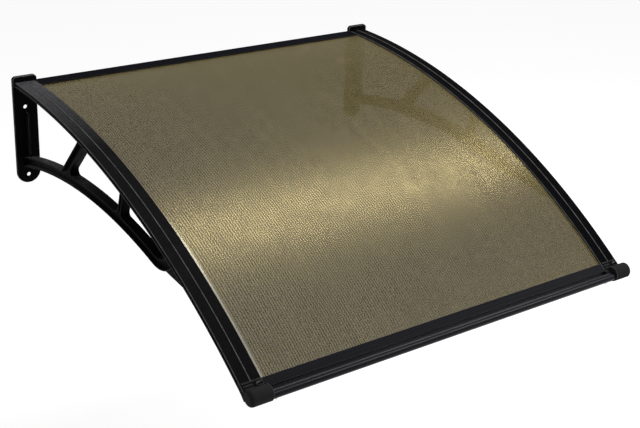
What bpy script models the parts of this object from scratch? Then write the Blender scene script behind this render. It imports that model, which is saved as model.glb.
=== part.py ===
"""Polycarbonate door canopy with its frame, one metre class.

Frame of the part: X runs along the wall, Y points into the wall and Z points up.
The wall plane is y = 0, and the origin is the middle of the wall bar's back face,
level with the middle of the roof sheet. A side outline is a list of (out, up)
points, where out is the distance from the wall. Sizes are in metres.
"""

import math

import bmesh
import bpy
from mathutils import Matrix, Vector

# Whole canopy
BRACKET_SPACING = 0.940
ROOF_REACH = 0.944
ROOF_FACETS = 24

# Roof sheet, bent to one arc whose crown lies at the wall
SHEET_RADIUS = 1.600
SHEET_THICKNESS = 0.005
SHEET_EDGE_GAP = 0.0007

# Clearances
FIT_GAP = 0.0003
LIP_GAP = 0.0004
BURIED = 0.0004
CUTTER_MARGIN = 0.003

# Bracket arm, a lying H section that follows the sheet
ARM_WIDTH = 0.047
ARM_TOP_FLANGE = 0.0025
ARM_LOW_FLANGE = 0.0028
ARM_WEB = 0.0045
ARM_END_OVER = 0.001
ARM_LOW_END_INSET = 0.013
OUTER_SLOT_END_INSET = 0.019
RIDGE_WIDTH = 0.0020
RIDGE_HEIGHT = 0.0010

# Cross ribs on the arm's front end, on its half towards -X
RIB_FIRST_INSET = 0.015
RIB_PITCH = 0.005
RIB_COUNT = 3
RIB_WIDTH = 0.0020
RIB_HEIGHT = 0.0008
RIB_LENGTH = 0.019
RIB_SHORT_END = 0.0008
RIB_LONG_END = 0.0225
TONGUE_INSET = 0.0125
TONGUE_LENGTH = 0.0075
TONGUE_FROM = 0.0085

# Wall plate of the bracket
PLATE_WIDTH = 0.057
PLATE_THICKNESS = 0.005
PLATE_TOP = 0.0185
PLATE_HEIGHT = 0.256
UPSTAND_THICKNESS = 0.0085
UPSTAND_FOOT = -0.003
UPSTAND_CORNER = 0.008
WALL_HOLE_RADIUS = 0.0048
WALL_HOLE_SINK_RADIUS = 0.0075
WALL_HOLE_SINK_DEPTH = 0.0012
UPPER_HOLE_UP = -0.055
LOWER_HOLE_UP = -0.218

# Brace and struts below the arm
LATTICE_WIDTH = 0.021
LATTICE_WEB = 0.004
LATTICE_RIM = 0.003
BRACE_RADIUS = 1.150
BRACE_DEPTH = 0.0225
BRACE_APEX_OUT = 0.303
BRACE_APEX_UP = -0.158
BRACE_END_OUT = 0.600
BRACE_END_RADIUS = 0.075
REAR_STRUT_OUT = 0.215
REAR_STRUT_FOOT = -0.140
REAR_STRUT_SLOPE = 47.5
REAR_STRUT_THICKNESS = 0.021
FRONT_STRUT_OUT = 0.462
FRONT_STRUT_FOOT = -0.150
FRONT_STRUT_SLOPE = 75.0
FRONT_STRUT_THICKNESS = 0.013
WINDOW_CORNER = 0.010
REAR_WINDOW_CORNER = 0.013
FRONT_WINDOW_CORNER = 0.008
BRACE_JOINT_CORNER = 0.020
CREST_OUT = 0.020
CREST_TOP = -0.066
CREST_CORNER = 0.006
STIFFENER_WEB = 0.0036
FIN_SLOPE = -0.12
FIN_REACH = 0.800
LATTICE_DEPTH = 0.0020
FIN_DEPTH = 0.0016
POCKET_DEPTH = 0.0012

# Wall bar, an aluminium channel that holds the sheet's rear edge
WALL_BAR_DEPTH = 0.038
WALL_BAR_BACK = 0.0155
WALL_BAR_LIP = 0.0016

# Front bar, an aluminium extrusion with a clamp, a gutter and a round tube
LIP_REAR_INSET = 0.016
LIP_LENGTH = 0.020
LIP_THICKNESS = 0.0012
LIP_BACK_WALL = 0.0016
NECK_THICKNESS = 0.0018
TUBE_FORWARD = 0.0363
TUBE_LIFT = 0.0059
TUBE_RADIUS = 0.0095
TUBE_WALL = 0.0020
NOTCH_HALF = 0.020

# Boss of the bracket at the tube's end
BOSS_RADIUS = 0.0166
BOSS_BACK = 0.0035
BOSS_LIFT = 0.0034
BOSS_START_ANGLE = 165
BOSS_FOOT_INSET = 0.020
LEFT_BOSS_OUTER = 0.0235
LEFT_BOSS_INNER = 0.024
LEFT_BOSS_ROUNDING = 0.008
RIGHT_BOSS_OUTER = 0.030
RIGHT_BOSS_INNER = 0.013
RIGHT_BOSS_ROUNDING = 0.002
CRADLE_OVERLAP = 0.002
CRADLE_HIGH_ANGLE = 130
CRADLE_LOW_ANGLE = 175
SPIGOT_END = 0.044
SPIGOT_SINK = 0.004

# Self-tapping screws
SIDE_SCREW_RADIUS = 0.00145
SIDE_SCREW_LENGTH = 0.042
SIDE_SCREW_HEAD_RADIUS = 0.0025
SIDE_SCREW_HEAD_HEIGHT = 0.0018
TUBE_SCREW_RADIUS = 0.00175
TUBE_SCREW_LENGTH = 0.012
TUBE_SCREW_HEAD_RADIUS = 0.0034
TUBE_SCREW_HEAD_HEIGHT = 0.0022
TUBE_SCREW_ACROSS = 0.035
SCREW_TIP = 0.0025
RECESS_WIDTH = 0.0007
RECESS_DEPTH = 0.0010
RECESS_SHARE = 0.62
RECESS_STEP = 0.03
HEAD_TOP_SHARE = 0.7
HEAD_EDGE_SHARE = 0.55

# Fineness of round forms
TUBE_SEGMENTS = 28
HOLE_SEGMENTS = 20
SCREW_SEGMENTS = 12
CORNER_SEGMENTS = 4
END_ARC_SEGMENTS = 8
LONG_ARC_STEP = 0.040
CORNER_CLEARANCE = 2.5
SEARCH_STEPS = 40
ANGLE_TOLERANCE = 0.000001
WELD_DISTANCE = 0.00001

# Derived sizes
ARM_END_OUT = ROOF_REACH + ARM_END_OVER
ARM_LOW_END_OUT = ARM_END_OUT - ARM_LOW_END_INSET
OUTER_SLOT_END_OUT = ARM_END_OUT - OUTER_SLOT_END_INSET
RIB_FIRST_OUT = ARM_END_OUT - RIB_FIRST_INSET
TONGUE_OUT = ARM_END_OUT - TONGUE_INSET
LIP_REAR_OUT = ARM_END_OUT - LIP_REAR_INSET
BOSS_FOOT_OUT = ARM_END_OUT - BOSS_FOOT_INSET
FACET_ANGLE = math.asin(ROOF_REACH / SHEET_RADIUS) / ROOF_FACETS
SLOT_HALF = SHEET_THICKNESS / 2 + FIT_GAP
ARM_TOP = SLOT_HALF + ARM_TOP_FLANGE
ARM_LOW = -SLOT_HALF - ARM_LOW_FLANGE
LIP_INSIDE = SHEET_THICKNESS / 2 + LIP_GAP
SHEET_HALF_WIDTH = BRACKET_SPACING / 2 - ARM_WEB / 2 - SHEET_EDGE_GAP
SHEET_REAR_OUT = WALL_BAR_BACK + FIT_GAP
WALL_BAR_HALF = LIP_INSIDE + WALL_BAR_LIP
SIDE_SCREW_OUT = UPSTAND_THICKNESS + 2 * FIT_GAP + SIDE_SCREW_HEAD_RADIUS

SIDE_VIEW = Matrix(((0, 0, -1), (-1, 0, 0), (0, 1, 0))).to_4x4()
FRONT_VIEW = Matrix(((1, 0, 0), (0, 0, -1), (0, 1, 0))).to_4x4()


# Scene and collections

def clear_scene():
    """Remove every object of the scene."""
    for item in list(bpy.data.objects):
        bpy.data.objects.remove(item, do_unlink=True)


def new_collection(name):
    """Return a new collection linked to the scene."""
    collection = bpy.data.collections.new(name)
    bpy.context.scene.collection.children.link(collection)
    return collection


clear_scene()
PARTS = new_collection("door_canopy")
CUTTERS = new_collection("cutters")
ROOT = bpy.data.objects.new("door_canopy_root", None)
PARTS.objects.link(ROOT)


# Outlines

def roof_point(angle, offset):
    """Return the (out, up) point of the faceted roof arc, offset along its normal."""
    middle = (math.floor(angle / FACET_ANGLE + ANGLE_TOLERANCE) + 0.5) * FACET_ANGLE
    radius = (SHEET_RADIUS + offset) * math.cos(FACET_ANGLE / 2) / math.cos(angle - middle)
    return Vector((radius * math.sin(angle), radius * math.cos(angle) - SHEET_RADIUS))


def roof_arc(out_from, out_to, offset):
    """Return the roof arc between two distances from the wall, measured on the sheet."""
    start = math.asin(out_from / SHEET_RADIUS)
    end = math.asin(out_to / SHEET_RADIUS)
    first = math.floor(start / FACET_ANGLE) + 1
    last = math.ceil(end / FACET_ANGLE) - 1
    angles = [start] + [step * FACET_ANGLE for step in range(first, last + 1)] + [end]
    return [roof_point(angle, offset) for angle in angles]


def roof_band(out_from, out_to, low, high):
    """Return the closed outline between two offsets of the roof arc."""
    return roof_arc(out_from, out_to, low) + roof_arc(out_from, out_to, high)[::-1]


def arm_line(offset):
    """Return the function that gives the height of the roof arc at an offset."""
    radius = SHEET_RADIUS + offset
    return lambda out: math.sqrt(radius ** 2 - out ** 2) - SHEET_RADIUS


def brace_line(lift):
    """Return the function that gives the height of the brace's arch at a lift."""
    radius = BRACE_RADIUS + lift
    centre_up = BRACE_APEX_UP - BRACE_RADIUS
    return lambda out: centre_up + math.sqrt(radius ** 2 - (out - BRACE_APEX_OUT) ** 2)


def along(line, out_from, out_to):
    """Return points of a height line at even steps between two distances."""
    count = max(1, round(abs(out_to - out_from) / LONG_ARC_STEP))
    outs = [out_from + (out_to - out_from) * step / count for step in range(count + 1)]
    return [Vector((out, line(out))) for out in outs]


def arc_points(centre, radius, start, end, count):
    """Return points of an arc from one angle to another, in degrees."""
    angles = [math.radians(start + (end - start) * step / count) for step in range(count + 1)]
    return [Vector((centre[0] + radius * math.cos(a), centre[1] + radius * math.sin(a))) for a in angles]


def circle(centre, radius, count):
    """Return the points of a full circle."""
    return arc_points(centre, radius, 0, 360, count)[:-1]


def strut_side(out, foot, slope, offset):
    """Return the function that gives a strut side's distance from the wall at a height."""
    angle = math.radians(slope)
    return lambda up: out + (up - foot) / math.tan(angle) + offset / math.sin(angle)


def meet(side, line):
    """Return the point where a strut side crosses a height line."""
    out = side(0.0)
    for _ in range(SEARCH_STEPS):
        out = side(line(out))
    return Vector((out, line(out)))


def crossing(test, low, high):
    """Return the value between two limits up to which a test holds."""
    for _ in range(SEARCH_STEPS):
        middle = (low + high) / 2
        if test(middle):
            low = middle
        else:
            high = middle
    return high


def fillet(before, corner, after, radius):
    """Return the arc that rounds a corner between its two neighbours."""
    to_before = (before - corner).normalized()
    to_after = (after - corner).normalized()
    half = to_before.angle(to_after) / 2
    reach = min(radius / math.tan(half), (before - corner).length, (after - corner).length)
    centre = corner + (to_before + to_after).normalized() * reach / math.cos(half)
    start = corner + to_before * reach - centre
    turn = to_after.angle_signed(to_before)
    sweep = math.copysign(math.pi - abs(turn), -turn)
    points = []
    for step in range(CORNER_SEGMENTS + 1):
        arm = start.copy()
        arm.rotate(Matrix.Rotation(sweep * step / CORNER_SEGMENTS, 2))
        points.append(centre + arm)
    return points


def rounded(corners):
    """Return a closed outline from (point, corner radius) pairs."""
    points = []
    for index, (corner, radius) in enumerate(corners):
        if radius == 0:
            points.append(corner)
            continue
        before = corners[index - 1][0]
        after = corners[(index + 1) % len(corners)][0]
        points += fillet(before, corner, after, radius)
    return points


def sharp(points):
    """Return outline pairs without rounding."""
    return [(point, 0) for point in points]


def grown(points, distance):
    """Return a closed outline moved outwards by a distance."""
    area = sum(a.x * b.y - b.x * a.y for a, b in zip(points, points[1:] + points[:1]))
    sign = math.copysign(1, area)
    moved = []
    for index, point in enumerate(points):
        before = (point - points[index - 1]).normalized()
        after = (points[(index + 1) % len(points)] - point).normalized()
        bisector = Vector((before.y + after.y, -before.x - after.x)).normalized()
        stretch = bisector.dot(Vector((after.y, -after.x)))
        moved.append(point + bisector * (sign * distance / stretch))
    return moved


# Solids

def new_object(name, mesh, collection):
    """Return a new object in a collection, under the root."""
    item = bpy.data.objects.new(name, mesh)
    collection.objects.link(item)
    if collection is CUTTERS:
        item.hide_render = True
        item.display_type = "WIRE"
    else:
        item.parent = ROOT
    return item


def flat_solid(name, outlines, thickness, matrix, collection=None):
    """Return the solid of flat outlines with an even thickness, as a mesh object."""
    collection = collection or CUTTERS
    curve = bpy.data.curves.new(name + "_outline", "CURVE")
    curve.dimensions = "2D"
    curve.fill_mode = "BOTH"
    curve.extrude = thickness / 2
    for outline in outlines:
        spline = curve.splines.new("POLY")
        spline.points.add(len(outline) - 1)
        for point, place in zip(spline.points, outline):
            point.co = (place[0], place[1], 0, 1)
        spline.use_cyclic_u = True
    guide = bpy.data.objects.new(name + "_guide", curve)
    CUTTERS.objects.link(guide)
    guide.matrix_world = matrix
    bpy.context.view_layer.update()
    mesh = bpy.data.meshes.new_from_object(guide.evaluated_get(bpy.context.evaluated_depsgraph_get()))
    mesh.name = name
    mesh.transform(guide.matrix_world)
    weld(mesh)
    bpy.data.objects.remove(guide)
    return new_object(name, mesh, collection)


def weld(mesh):
    """Join the loose caps of a mesh and turn its faces outwards."""
    cage = bmesh.new()
    cage.from_mesh(mesh)
    bmesh.ops.remove_doubles(cage, verts=cage.verts, dist=WELD_DISTANCE)
    bmesh.ops.recalc_face_normals(cage, faces=cage.faces)
    cage.to_mesh(mesh)
    cage.free()


def side_solid(name, outlines, across_from, across_to, collection=None):
    """Return the solid of side outlines between two distances across the part."""
    middle = Matrix.Translation(((across_from + across_to) / 2, 0, 0))
    return flat_solid(name, outlines, abs(across_to - across_from), middle @ SIDE_VIEW, collection)


def front_solid(name, outlines, depth_from, depth_to, collection=None):
    """Return the solid of front outlines between two distances from the wall."""
    middle = Matrix.Translation((0, -(depth_from + depth_to) / 2, 0))
    return flat_solid(name, outlines, depth_to - depth_from, middle @ FRONT_VIEW, collection)


def cross_rod(name, centre, radius, across_from, across_to, segments):
    """Return a rod along X about an (out, up) centre."""
    return side_solid(name, [circle(centre, radius, segments)], across_from, across_to)


def boolean(item, tool, operation):
    """Join or cut an item with a tool body that moves with the item."""
    tool.parent = item
    step = item.modifiers.new(tool.name, "BOOLEAN")
    step.operation = operation
    step.solver = "MANIFOLD"
    step.object = tool


def join(item, *tools):
    """Join tool bodies to an item."""
    for tool in tools:
        boolean(item, tool, "UNION")


def cut(item, *tools):
    """Cut tool bodies out of an item."""
    for tool in tools:
        boolean(item, tool, "DIFFERENCE")


def finish(item, material, smooth_angle=30):
    """Give an item its material and smooth its round faces."""
    item.data.materials.clear()
    item.data.materials.append(material)
    item.data.shade_smooth()
    item.data.set_sharp_from_angle(angle=math.radians(smooth_angle))


def new_material(name, colour, roughness, metallic=0.0, alpha=1.0):
    """Return a Principled material."""
    material = bpy.data.materials.new(name)
    material.use_nodes = True
    shader = material.node_tree.nodes["Principled BSDF"]
    shader.inputs["Base Color"].default_value = (*colour, 1)
    shader.inputs["Roughness"].default_value = roughness
    shader.inputs["Metallic"].default_value = metallic
    shader.inputs["Alpha"].default_value = alpha
    return material


def black_plastic():
    """Return the brackets' black moulded plastic."""
    return new_material("black_plastic", (0.012, 0.012, 0.014), 0.5)


def black_aluminium():
    """Return the bars' black coated aluminium."""
    return new_material("black_aluminium", (0.014, 0.014, 0.017), 0.38, metallic=0.3)


def bronze_polycarbonate():
    """Return the sheet's bronze see-through plastic."""
    return new_material("bronze_polycarbonate", (0.16, 0.12, 0.055), 0.2, alpha=0.85)


def zinc_steel():
    """Return the screws' zinc plated steel."""
    return new_material("zinc_steel", (0.55, 0.55, 0.52), 0.35, metallic=1.0)


# Front bar frame

def bar_frame():
    """Return the origin, forward and up directions of the front bar's section."""
    middle_out = LIP_REAR_OUT + LIP_LENGTH / 2 * math.cos(math.asin(LIP_REAR_OUT / SHEET_RADIUS))
    angle = math.asin(middle_out / SHEET_RADIUS)
    forward = Vector((math.cos(angle), -math.sin(angle)))
    upward = Vector((math.sin(angle), math.cos(angle)))
    origin = roof_point(angle, 0) - forward * LIP_LENGTH / 2
    return origin, forward, upward


def bar_point(along_sheet, lift):
    """Return the (out, up) point of a place in the front bar's section."""
    origin, forward, upward = bar_frame()
    return origin + forward * along_sheet + upward * lift


def sheet_front_out():
    """Return the distance from the wall of the sheet's front edge."""
    return bar_point(LIP_LENGTH - LIP_BACK_WALL - FIT_GAP, 0).x


def tube_centre():
    """Return the (out, up) centre of the front bar's tube."""
    return bar_point(TUBE_FORWARD, TUBE_LIFT)


# Bracket

def wall_plate():
    """Return the wall plate with its thicker upstand and rounded ends."""
    half = PLATE_WIDTH / 2
    round_up = PLATE_TOP - PLATE_HEIGHT + half
    top = [
        (Vector((half, PLATE_TOP)), UPSTAND_CORNER),
        (Vector((-half, PLATE_TOP)), UPSTAND_CORNER),
    ]
    outline = rounded(top + sharp(arc_points((0, round_up), half, 180, 360, HOLE_SEGMENTS)))
    plate = front_solid("plate", [outline], 0, UPSTAND_THICKNESS)
    relief = [Vector((-half - CUTTER_MARGIN, UPSTAND_FOOT)), Vector((half + CUTTER_MARGIN, UPSTAND_FOOT))]
    relief += [Vector((point.x, -PLATE_HEIGHT)) for point in relief[::-1]]
    cut(plate, front_solid("plate_relief", [relief], PLATE_THICKNESS, UPSTAND_THICKNESS + CUTTER_MARGIN))
    return plate


def wall_holes():
    """Return the cutters of the two wall screw holes and their sunk rims."""
    cutters = []
    for name, up in (("upper", UPPER_HOLE_UP), ("lower", LOWER_HOLE_UP)):
        through = circle((0, up), WALL_HOLE_RADIUS, HOLE_SEGMENTS)
        sink = circle((0, up), WALL_HOLE_SINK_RADIUS, HOLE_SEGMENTS)
        sink_from = PLATE_THICKNESS - WALL_HOLE_SINK_DEPTH
        cutters.append(front_solid(name + "_hole", [through], -CUTTER_MARGIN, PLATE_THICKNESS + CUTTER_MARGIN))
        cutters.append(front_solid(name + "_hole_sink", [sink], sink_from, PLATE_THICKNESS + CUTTER_MARGIN))
    return cutters


def arm():
    """Return the arm's solid band, before its slots are cut."""
    low = roof_arc(PLATE_THICKNESS / 2, ARM_LOW_END_OUT, ARM_LOW)
    high = roof_arc(PLATE_THICKNESS / 2, ARM_END_OUT, ARM_TOP)
    return side_solid("arm", [low + high[::-1]], -ARM_WIDTH / 2, ARM_WIDTH / 2)


def ridge():
    """Return the fine ridge along the middle of the arm's top flange."""
    outline = roof_band(PLATE_THICKNESS, RIB_FIRST_OUT, ARM_TOP / 2, ARM_TOP + RIDGE_HEIGHT)
    return side_solid("ridge", [outline], -RIDGE_WIDTH / 2, RIDGE_WIDTH / 2)


def cross_ribs():
    """Return the cross ribs on the arm's front end."""
    ribs = []
    for number in range(RIB_COUNT):
        middle = RIB_FIRST_OUT + number * RIB_PITCH
        outline = roof_band(middle - RIB_WIDTH / 2, middle + RIB_WIDTH / 2, ARM_TOP / 2, ARM_TOP + RIB_HEIGHT)
        last = RIB_LONG_END if number == 0 else RIB_SHORT_END
        ribs.append(side_solid(f"cross_rib_{number + 1}", [outline], -RIB_LENGTH, last))
    outline = roof_band(TONGUE_OUT, TONGUE_OUT + TONGUE_LENGTH, ARM_TOP / 2, ARM_TOP + RIB_HEIGHT)
    ribs.append(side_solid("tongue", [outline], TONGUE_FROM, RIB_LONG_END))
    return ribs


def sheet_slot(inward):
    """Return the cutter of the slot that takes the sheet's edge."""
    outline = roof_band(WALL_BAR_BACK, sheet_front_out() + FIT_GAP, -SLOT_HALF, SLOT_HALF)
    return side_solid("sheet_slot", [outline], inward * ARM_WEB / 2, inward * (ARM_WIDTH / 2 + CUTTER_MARGIN))


def outer_slot(inward):
    """Return the cutter of the open slot on the arm's outer side."""
    outline = roof_band(UPSTAND_THICKNESS + FIT_GAP, OUTER_SLOT_END_OUT, -SLOT_HALF, SLOT_HALF)
    return side_solid("outer_slot", [outline], -inward * ARM_WEB / 2, -inward * (ARM_WIDTH / 2 + CUTTER_MARGIN))


def bar_socket(inward):
    """Return the cutter of the seat that takes the wall bar's end."""
    outline = wall_bar_section(FIT_GAP, -CUTTER_MARGIN)
    return side_solid("bar_socket", [outline], inward * (ARM_WIDTH / 2 - FIT_GAP),
                      inward * (PLATE_WIDTH / 2 + CUTTER_MARGIN))


def side_screw_hole():
    """Return the cutter of the wall bar screw's hole through the arm."""
    return cross_rod("side_screw_hole", side_screw_centre(), SIDE_SCREW_RADIUS + FIT_GAP,
                     -ARM_WIDTH, ARM_WIDTH, SCREW_SEGMENTS)


def brace_end(lift):
    """Return the arc that turns the brace up into the arm, at a lift."""
    start = Vector((BRACE_END_OUT, brace_line(0)(BRACE_END_OUT)))
    upward = (start - Vector((BRACE_APEX_OUT, BRACE_APEX_UP - BRACE_RADIUS))).normalized()
    centre = start + upward * BRACE_END_RADIUS
    slope = math.degrees(math.atan2(-upward.y, -upward.x))
    radius = BRACE_END_RADIUS - lift
    return centre, radius, slope


def brace_end_points(lift, roof_offset):
    """Return the brace's end arc up to where it enters the arm."""
    centre, radius, slope = brace_end(lift)
    inside = arm_line(roof_offset)

    def below_arm(angle):
        point = arc_points(centre, radius, angle, angle, 1)[0]
        return point.y < inside(point.x)

    return arc_points(centre, radius, slope, crossing(below_arm, slope, 0.0), END_ARC_SEGMENTS)


def lattice_outline(lift, roof_offset, out_from):
    """Return the outline of the whole lattice, from its lower edge up into the arm."""
    lower = along(brace_line(lift), out_from, BRACE_END_OUT)[:-1]
    end = brace_end_points(lift, roof_offset)
    upper = along(arm_line(roof_offset), end[-1].x, out_from)[1:]
    return lower + end + upper


def strut_sides():
    """Return the two sides of each strut, the one towards the wall first."""
    rear = [strut_side(REAR_STRUT_OUT, REAR_STRUT_FOOT, REAR_STRUT_SLOPE, sign * REAR_STRUT_THICKNESS / 2)
            for sign in (-1, 1)]
    front = [strut_side(FRONT_STRUT_OUT, FRONT_STRUT_FOOT, FRONT_STRUT_SLOPE, sign * FRONT_STRUT_THICKNESS / 2)
             for sign in (-1, 1)]
    return rear + front


def between(line, start, end, clear_start, clear_end):
    """Return points of a height line between two corners, clear of their rounding."""
    step = math.copysign(1, end.x - start.x)
    return sharp(along(line, start.x + step * clear_start, end.x - step * clear_end))


def rear_window():
    """Return the window between the wall plate and the rear strut."""
    top = arm_line(ARM_LOW + BURIED)
    bottom = brace_line(BRACE_DEPTH)
    side = strut_sides()[0]
    high, low = meet(side, top), meet(side, bottom)
    wall_top = Vector((-CREST_OUT, top(CREST_OUT)))
    wall_low = Vector((-CREST_OUT, bottom(0)))
    clear = CORNER_CLEARANCE * REAR_WINDOW_CORNER
    corners = [(wall_low, 0)]
    corners += between(bottom, Vector((0, 0)), low, 0, clear) + [(low, REAR_WINDOW_CORNER)]
    corners += [(high, REAR_WINDOW_CORNER)]
    corners += between(top, high, Vector((0, 0)), clear, 0) + [(wall_top, 0)]
    return rounded(corners)


def middle_window():
    """Return the window between the two struts."""
    top = arm_line(ARM_LOW + BURIED)
    bottom = brace_line(BRACE_DEPTH)
    rear, front = strut_sides()[1], strut_sides()[2]
    rear_low, front_low = meet(rear, bottom), meet(front, bottom)
    front_high, rear_high = meet(front, top), meet(rear, top)
    clear = CORNER_CLEARANCE * WINDOW_CORNER
    corners = [(rear_low, WINDOW_CORNER)]
    corners += between(bottom, rear_low, front_low, clear, clear) + [(front_low, BRACE_JOINT_CORNER)]
    corners += [(front_high, WINDOW_CORNER)]
    corners += between(top, front_high, rear_high, clear, clear) + [(rear_high, WINDOW_CORNER)]
    return rounded(corners)


def front_window():
    """Return the window between the front strut and the brace's end."""
    top = arm_line(ARM_LOW + BURIED)
    bottom = brace_line(BRACE_DEPTH)
    side = strut_sides()[3]
    low, high = meet(side, bottom), meet(side, top)
    clear = CORNER_CLEARANCE * FRONT_WINDOW_CORNER
    end = brace_end_points(BRACE_DEPTH, ARM_LOW + BURIED)
    tip = end[-1]
    kept = [point for point in end if (point - tip).length > clear]
    corners = [(low, FRONT_WINDOW_CORNER)]
    corners += sharp(along(bottom, low.x + clear, BRACE_END_OUT)[:-1] + kept) + [(tip, FRONT_WINDOW_CORNER)]
    corners += between(top, tip, high, clear, clear) + [(high, FRONT_WINDOW_CORNER)]
    return rounded(corners)


def lattice_pocket(name, sign, windows):
    """Return the pocket that leaves the lattice's web and rims on one side."""
    reach = sign * (LATTICE_WIDTH / 2 + CUTTER_MARGIN)
    outline = lattice_outline(LATTICE_RIM, ARM_LOW + POCKET_DEPTH, -CREST_OUT)
    pocket = side_solid(name, [outline], sign * LATTICE_WEB / 2, reach)
    for number, window in enumerate(windows):
        rim = side_solid(f"{name}_rim_{number + 1}", [grown(window, LATTICE_RIM)],
                         sign * LATTICE_WEB / 4, reach + sign * CUTTER_MARGIN)
        cut(pocket, rim)
    return pocket


def lattice():
    """Return the brace and struts: a web with rims round its windows."""
    outline = lattice_outline(0, ARM_LOW + LATTICE_DEPTH, PLATE_THICKNESS / 2)
    body = side_solid("lattice", [outline], -LATTICE_WIDTH / 2, LATTICE_WIDTH / 2)
    windows = [rear_window(), middle_window(), front_window()]
    cut(body, lattice_pocket("pocket_left", -1, windows), lattice_pocket("pocket_right", 1, windows))
    for number, window in enumerate(windows):
        cut(body, side_solid(f"window_{number + 1}", [window], -LATTICE_WIDTH, LATTICE_WIDTH))
    return body


def crest():
    """Return the upright stiffening web on the wall plate, below its upper hole."""
    foot = brace_line(BRACE_DEPTH - LATTICE_RIM / 2)(CREST_OUT)
    corners = [
        (Vector((PLATE_THICKNESS / 2, CREST_TOP)), 0),
        (Vector((PLATE_THICKNESS / 2, foot)), 0),
        (Vector((CREST_OUT, foot)), 0),
        (Vector((CREST_OUT, CREST_TOP)), CREST_CORNER),
    ]
    return side_solid("crest", [rounded(corners)], -STIFFENER_WEB / 2, STIFFENER_WEB / 2)


def fin():
    """Return the tapering fin between the brace's end and the arm."""
    start = Vector((BRACE_END_OUT, brace_line(LATTICE_RIM / 2)(BRACE_END_OUT)))
    low = Vector((BRACE_END_OUT, brace_line(0)(BRACE_END_OUT)))
    top = arm_line(ARM_LOW + FIN_DEPTH)
    tip_out = crossing(lambda out: low.y + FIN_SLOPE * (out - low.x) < top(out), BRACE_END_OUT, FIN_REACH)
    tip = Vector((tip_out, top(tip_out)))
    entry = brace_end_points(LATTICE_RIM / 2, ARM_LOW + FIN_DEPTH)
    outline = [start, Vector((low.x, low.y + BURIED)), tip]
    outline += along(top, tip_out, entry[-1].x)[1:] + entry[-2:0:-1]
    return side_solid("fin", [outline], -STIFFENER_WEB / 2, STIFFENER_WEB / 2)


def boss_ends(inward):
    """Return how far a bracket's boss reaches outwards and inwards, and its outer rounding."""
    if inward > 0:
        return LEFT_BOSS_OUTER, LEFT_BOSS_INNER, LEFT_BOSS_ROUNDING
    return RIGHT_BOSS_OUTER, RIGHT_BOSS_INNER, RIGHT_BOSS_ROUNDING


def boss(inward):
    """Return the round boss at the front bar's end, with its foot under the arm."""
    outer, inner, rounding = boss_ends(inward)
    centre = tube_centre() + Vector((-BOSS_BACK, BOSS_LIFT))
    foot = Vector((BOSS_FOOT_OUT, arm_line(ARM_LOW + BURIED)(BOSS_FOOT_OUT)))
    away = foot - centre
    spread = math.degrees(math.acos(BOSS_RADIUS / away.length))
    low_angle = math.degrees(math.atan2(away.y, away.x)) + spread
    face = arc_points(centre, BOSS_RADIUS, BOSS_START_ANGLE, low_angle - 360, TUBE_SEGMENTS)
    body = side_solid("boss", [face + [foot]], -inward * outer, inward * inner)
    round_end(body.data, -inward * outer, rounding)
    return body


def cradle(inward):
    """Return the low wall between the arm's end and the front bar's tube."""
    rear = math.asin((ARM_END_OUT - CRADLE_OVERLAP) / SHEET_RADIUS)
    front = math.asin(ARM_END_OUT / SHEET_RADIUS)
    face = arc_points(tube_centre(), TUBE_RADIUS + FIT_GAP, CRADLE_HIGH_ANGLE, CRADLE_LOW_ANGLE, CORNER_SEGMENTS)
    outline = [roof_point(rear, ARM_TOP - BURIED), roof_point(front, ARM_TOP - BURIED)]
    outline += face + [roof_point(rear, ARM_LOW + 2 * BURIED)]
    return side_solid("cradle", [outline], inward * (boss_ends(inward)[1] - BURIED), inward * ARM_WIDTH / 2)


def round_end(mesh, across, rounding):
    """Round the edges of a mesh's end face that lies at one distance across."""
    cage = bmesh.new()
    cage.from_mesh(mesh)
    on_end = [vert for vert in cage.verts if abs(vert.co.x - across) < WELD_DISTANCE]
    rim = [edge for edge in cage.edges if edge.verts[0] in on_end and edge.verts[1] in on_end
           and len({round(face.normal.x, 3) for face in edge.link_faces}) == 2]
    bmesh.ops.bevel(cage, geom=rim, offset=rounding, segments=CORNER_SEGMENTS,
                    profile=0.5, affect="EDGES")
    cage.to_mesh(mesh)
    cage.free()


def spigot(inward):
    """Return the spigot that enters the front bar's tube."""
    radius = TUBE_RADIUS - TUBE_WALL - FIT_GAP
    start = boss_ends(inward)[1] - SPIGOT_SINK
    return cross_rod("spigot", tube_centre(), radius, inward * start, inward * SPIGOT_END, HOLE_SEGMENTS)


def tube_screw_hole(inward):
    """Return the cutter of the front screw's hole in the spigot, open from below."""
    return upright_rod("tube_screw_hole", inward * TUBE_SCREW_ACROSS, TUBE_SCREW_RADIUS + FIT_GAP)


def bracket(name, inward, material):
    """Return one bracket, with its inner side towards the sheet."""
    item = lattice()
    item.name = name
    CUTTERS.objects.unlink(item)
    PARTS.objects.link(item)
    item.hide_render = False
    item.display_type = "TEXTURED"
    item.parent = ROOT
    join(item, arm(), wall_plate(), crest(), fin(), boss(inward), ridge(), spigot(inward))
    join(item, *cross_ribs())
    if boss_ends(inward)[1] < ARM_WIDTH / 2:
        join(item, cradle(inward))
    cut(item, sheet_slot(inward), outer_slot(inward), bar_socket(inward), side_screw_hole())
    cut(item, tube_screw_hole(inward), *wall_holes())
    item.location.x = -inward * BRACKET_SPACING / 2
    finish(item, material)
    return item


# Sheet

def roof_sheet(material):
    """Return the twin-wall sheet as one curved solid."""
    half = SHEET_THICKNESS / 2
    outline = roof_band(SHEET_REAR_OUT, sheet_front_out(), -half, half)
    item = side_solid("roof_sheet", [outline], -SHEET_HALF_WIDTH, SHEET_HALF_WIDTH, PARTS)
    finish(item, material)
    return item


# Wall bar

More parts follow.
